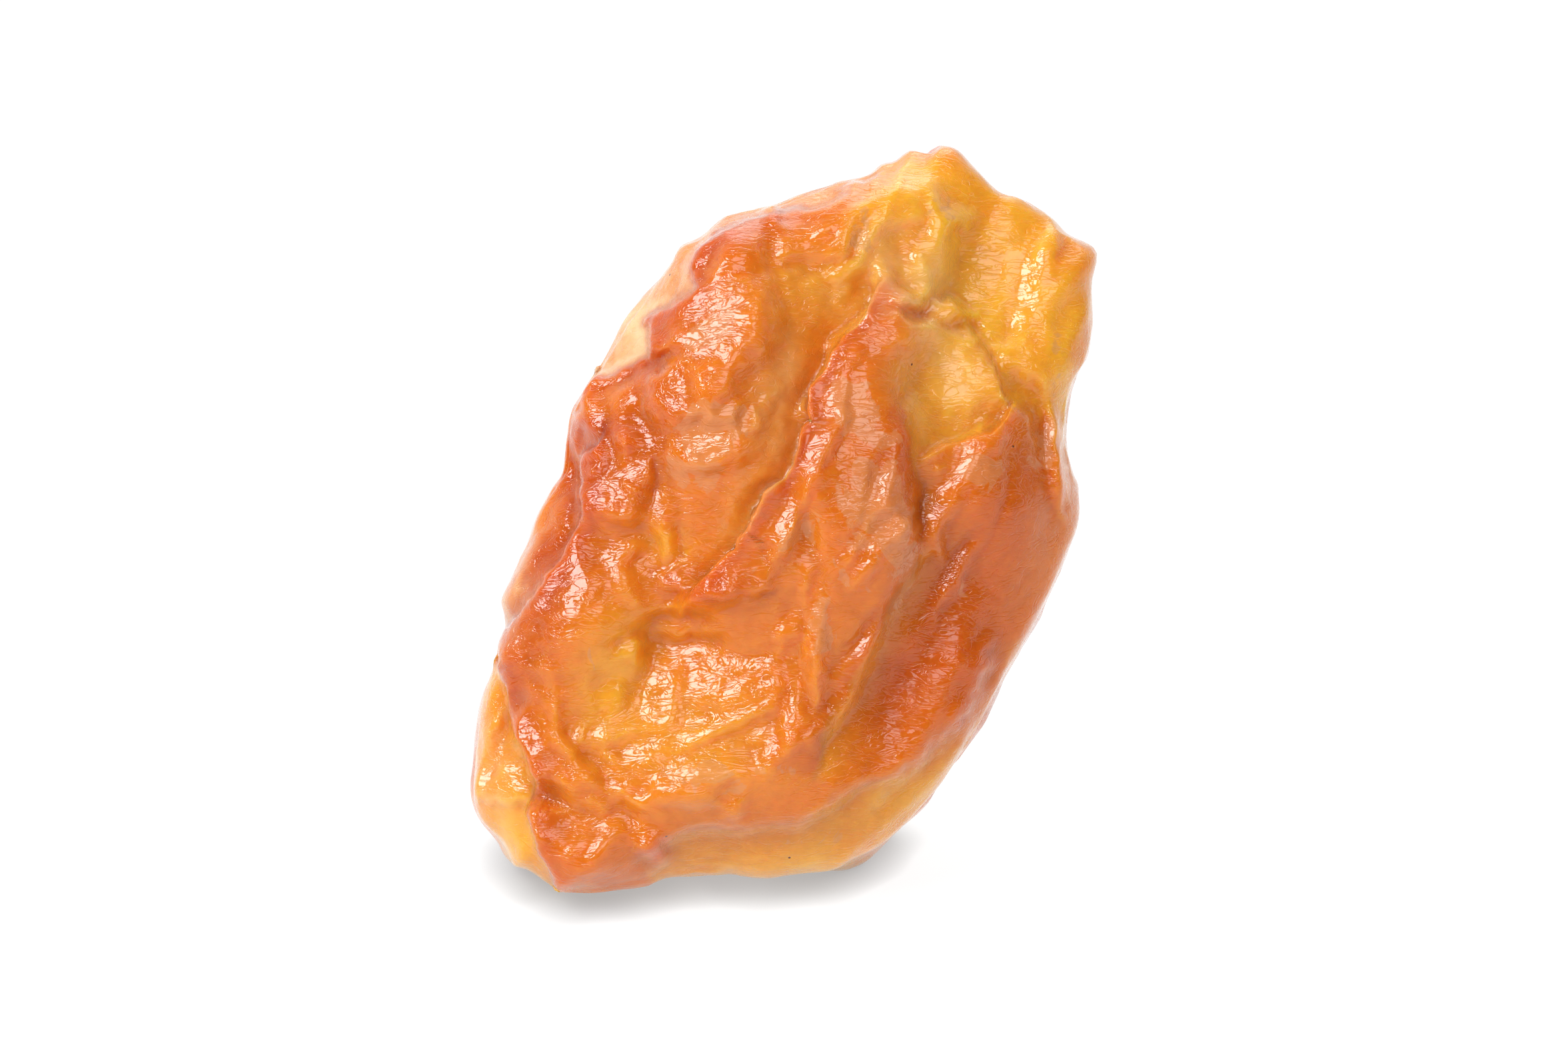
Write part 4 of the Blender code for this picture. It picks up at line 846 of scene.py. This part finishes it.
def makeFloor():  # one square of uncoated white paper on a light table: matt, so it shows no mirror image
    half = studio["floorWidth"] / 2
    mesh = bpy.data.meshes.new("paperFloor")
    corners = [(-half, -half, 0), (half, -half, 0), (half, half, 0), (-half, half, 0)]
    mesh.from_pydata(corners, [], [(0, 1, 2, 3)])
    piece = bpy.data.objects.new("paperFloor", mesh)
    bpy.context.scene.collection.objects.link(piece)
    material = bpy.data.materials.new("whitePaper")
    material.use_nodes = True
    tree = material.node_tree
    tree.nodes.clear()
    shade = addNode(tree, "AmbientOcclusion", {"samples": 16}, {
        "Distance": studio["nearShade"] * mm})
    glow = addNode(tree, "MapRange", inputs={
        "Value": (shade, "AO"), "From Min": 0.1, "From Max": 0.92,
        "To Min": studio["shadeShare"] * studio["floorGlow"], "To Max": studio["floorGlow"]})
    shader = addNode(tree, "BsdfPrincipled", inputs={
        "Base Color": linear(studio["floorColour"]), "Roughness": 0.9, "Specular IOR Level": 0.1,
        "Emission Color": (1, 1, 1, 1), "Emission Strength": (glow, 0),
    })
    addNode(tree, "OutputMaterial", inputs={"Surface": (shader, 0)})
    mesh.materials.append(material)


def aimAt(piece, target):  # turns a lamp or the camera so that it looks at the target
    piece.rotation_mode = "QUATERNION"
    piece.rotation_quaternion = (target - piece.location).to_track_quat("-Z", "Y")


def makeStudio():  # three square softboxes, a white room behind them and the camera square on to the face
    scene = bpy.context.scene
    middle = Vector(studio["aim"]) * mm
    for name, box in studio["softboxes"].items():
        lamp = bpy.data.lights.new(name + "Softbox", "AREA")
        lamp.shape, lamp.size, lamp.energy = "SQUARE", box["size"], box["power"]
        piece = bpy.data.objects.new(name + "Softbox", lamp)
        scene.collection.objects.link(piece)
        piece.location = box["at"]
        aimAt(piece, middle)
    world = bpy.data.worlds.new("whiteRoom")
    world.use_nodes = True
    tree = world.node_tree
    background = tree.nodes["Background"]
    background.inputs["Color"].default_value = (1, 1, 1, 1)
    way = addNode(tree, "TexCoord")
    parts = addNode(tree, "SeparateXYZ", inputs={"Vector": (way, "Generated")})
    sky = addNode(tree, "MapRange", inputs={
        "Value": (parts, "Y"), "From Min": -0.1, "From Max": 0.3,
        "To Min": studio["frontSky"], "To Max": studio["backSky"]})
    tree.links.new(sky.outputs[0], background.inputs["Strength"])
    scene.world = world
    camera = bpy.data.objects.new("camera", bpy.data.cameras.new("camera"))
    scene.collection.objects.link(camera)
    camera.data.lens, camera.data.clip_start = studio["lens"], 0.01
    lean = body["lean"]
    camera.location = middle + Vector((0, -math.cos(lean), math.sin(lean))) * studio["cameraDistance"]
    aimAt(camera, middle)
    scene.camera = camera
    scene.view_settings.view_transform = "Standard"


makeFloor()
makeStudio()
print("studio made")
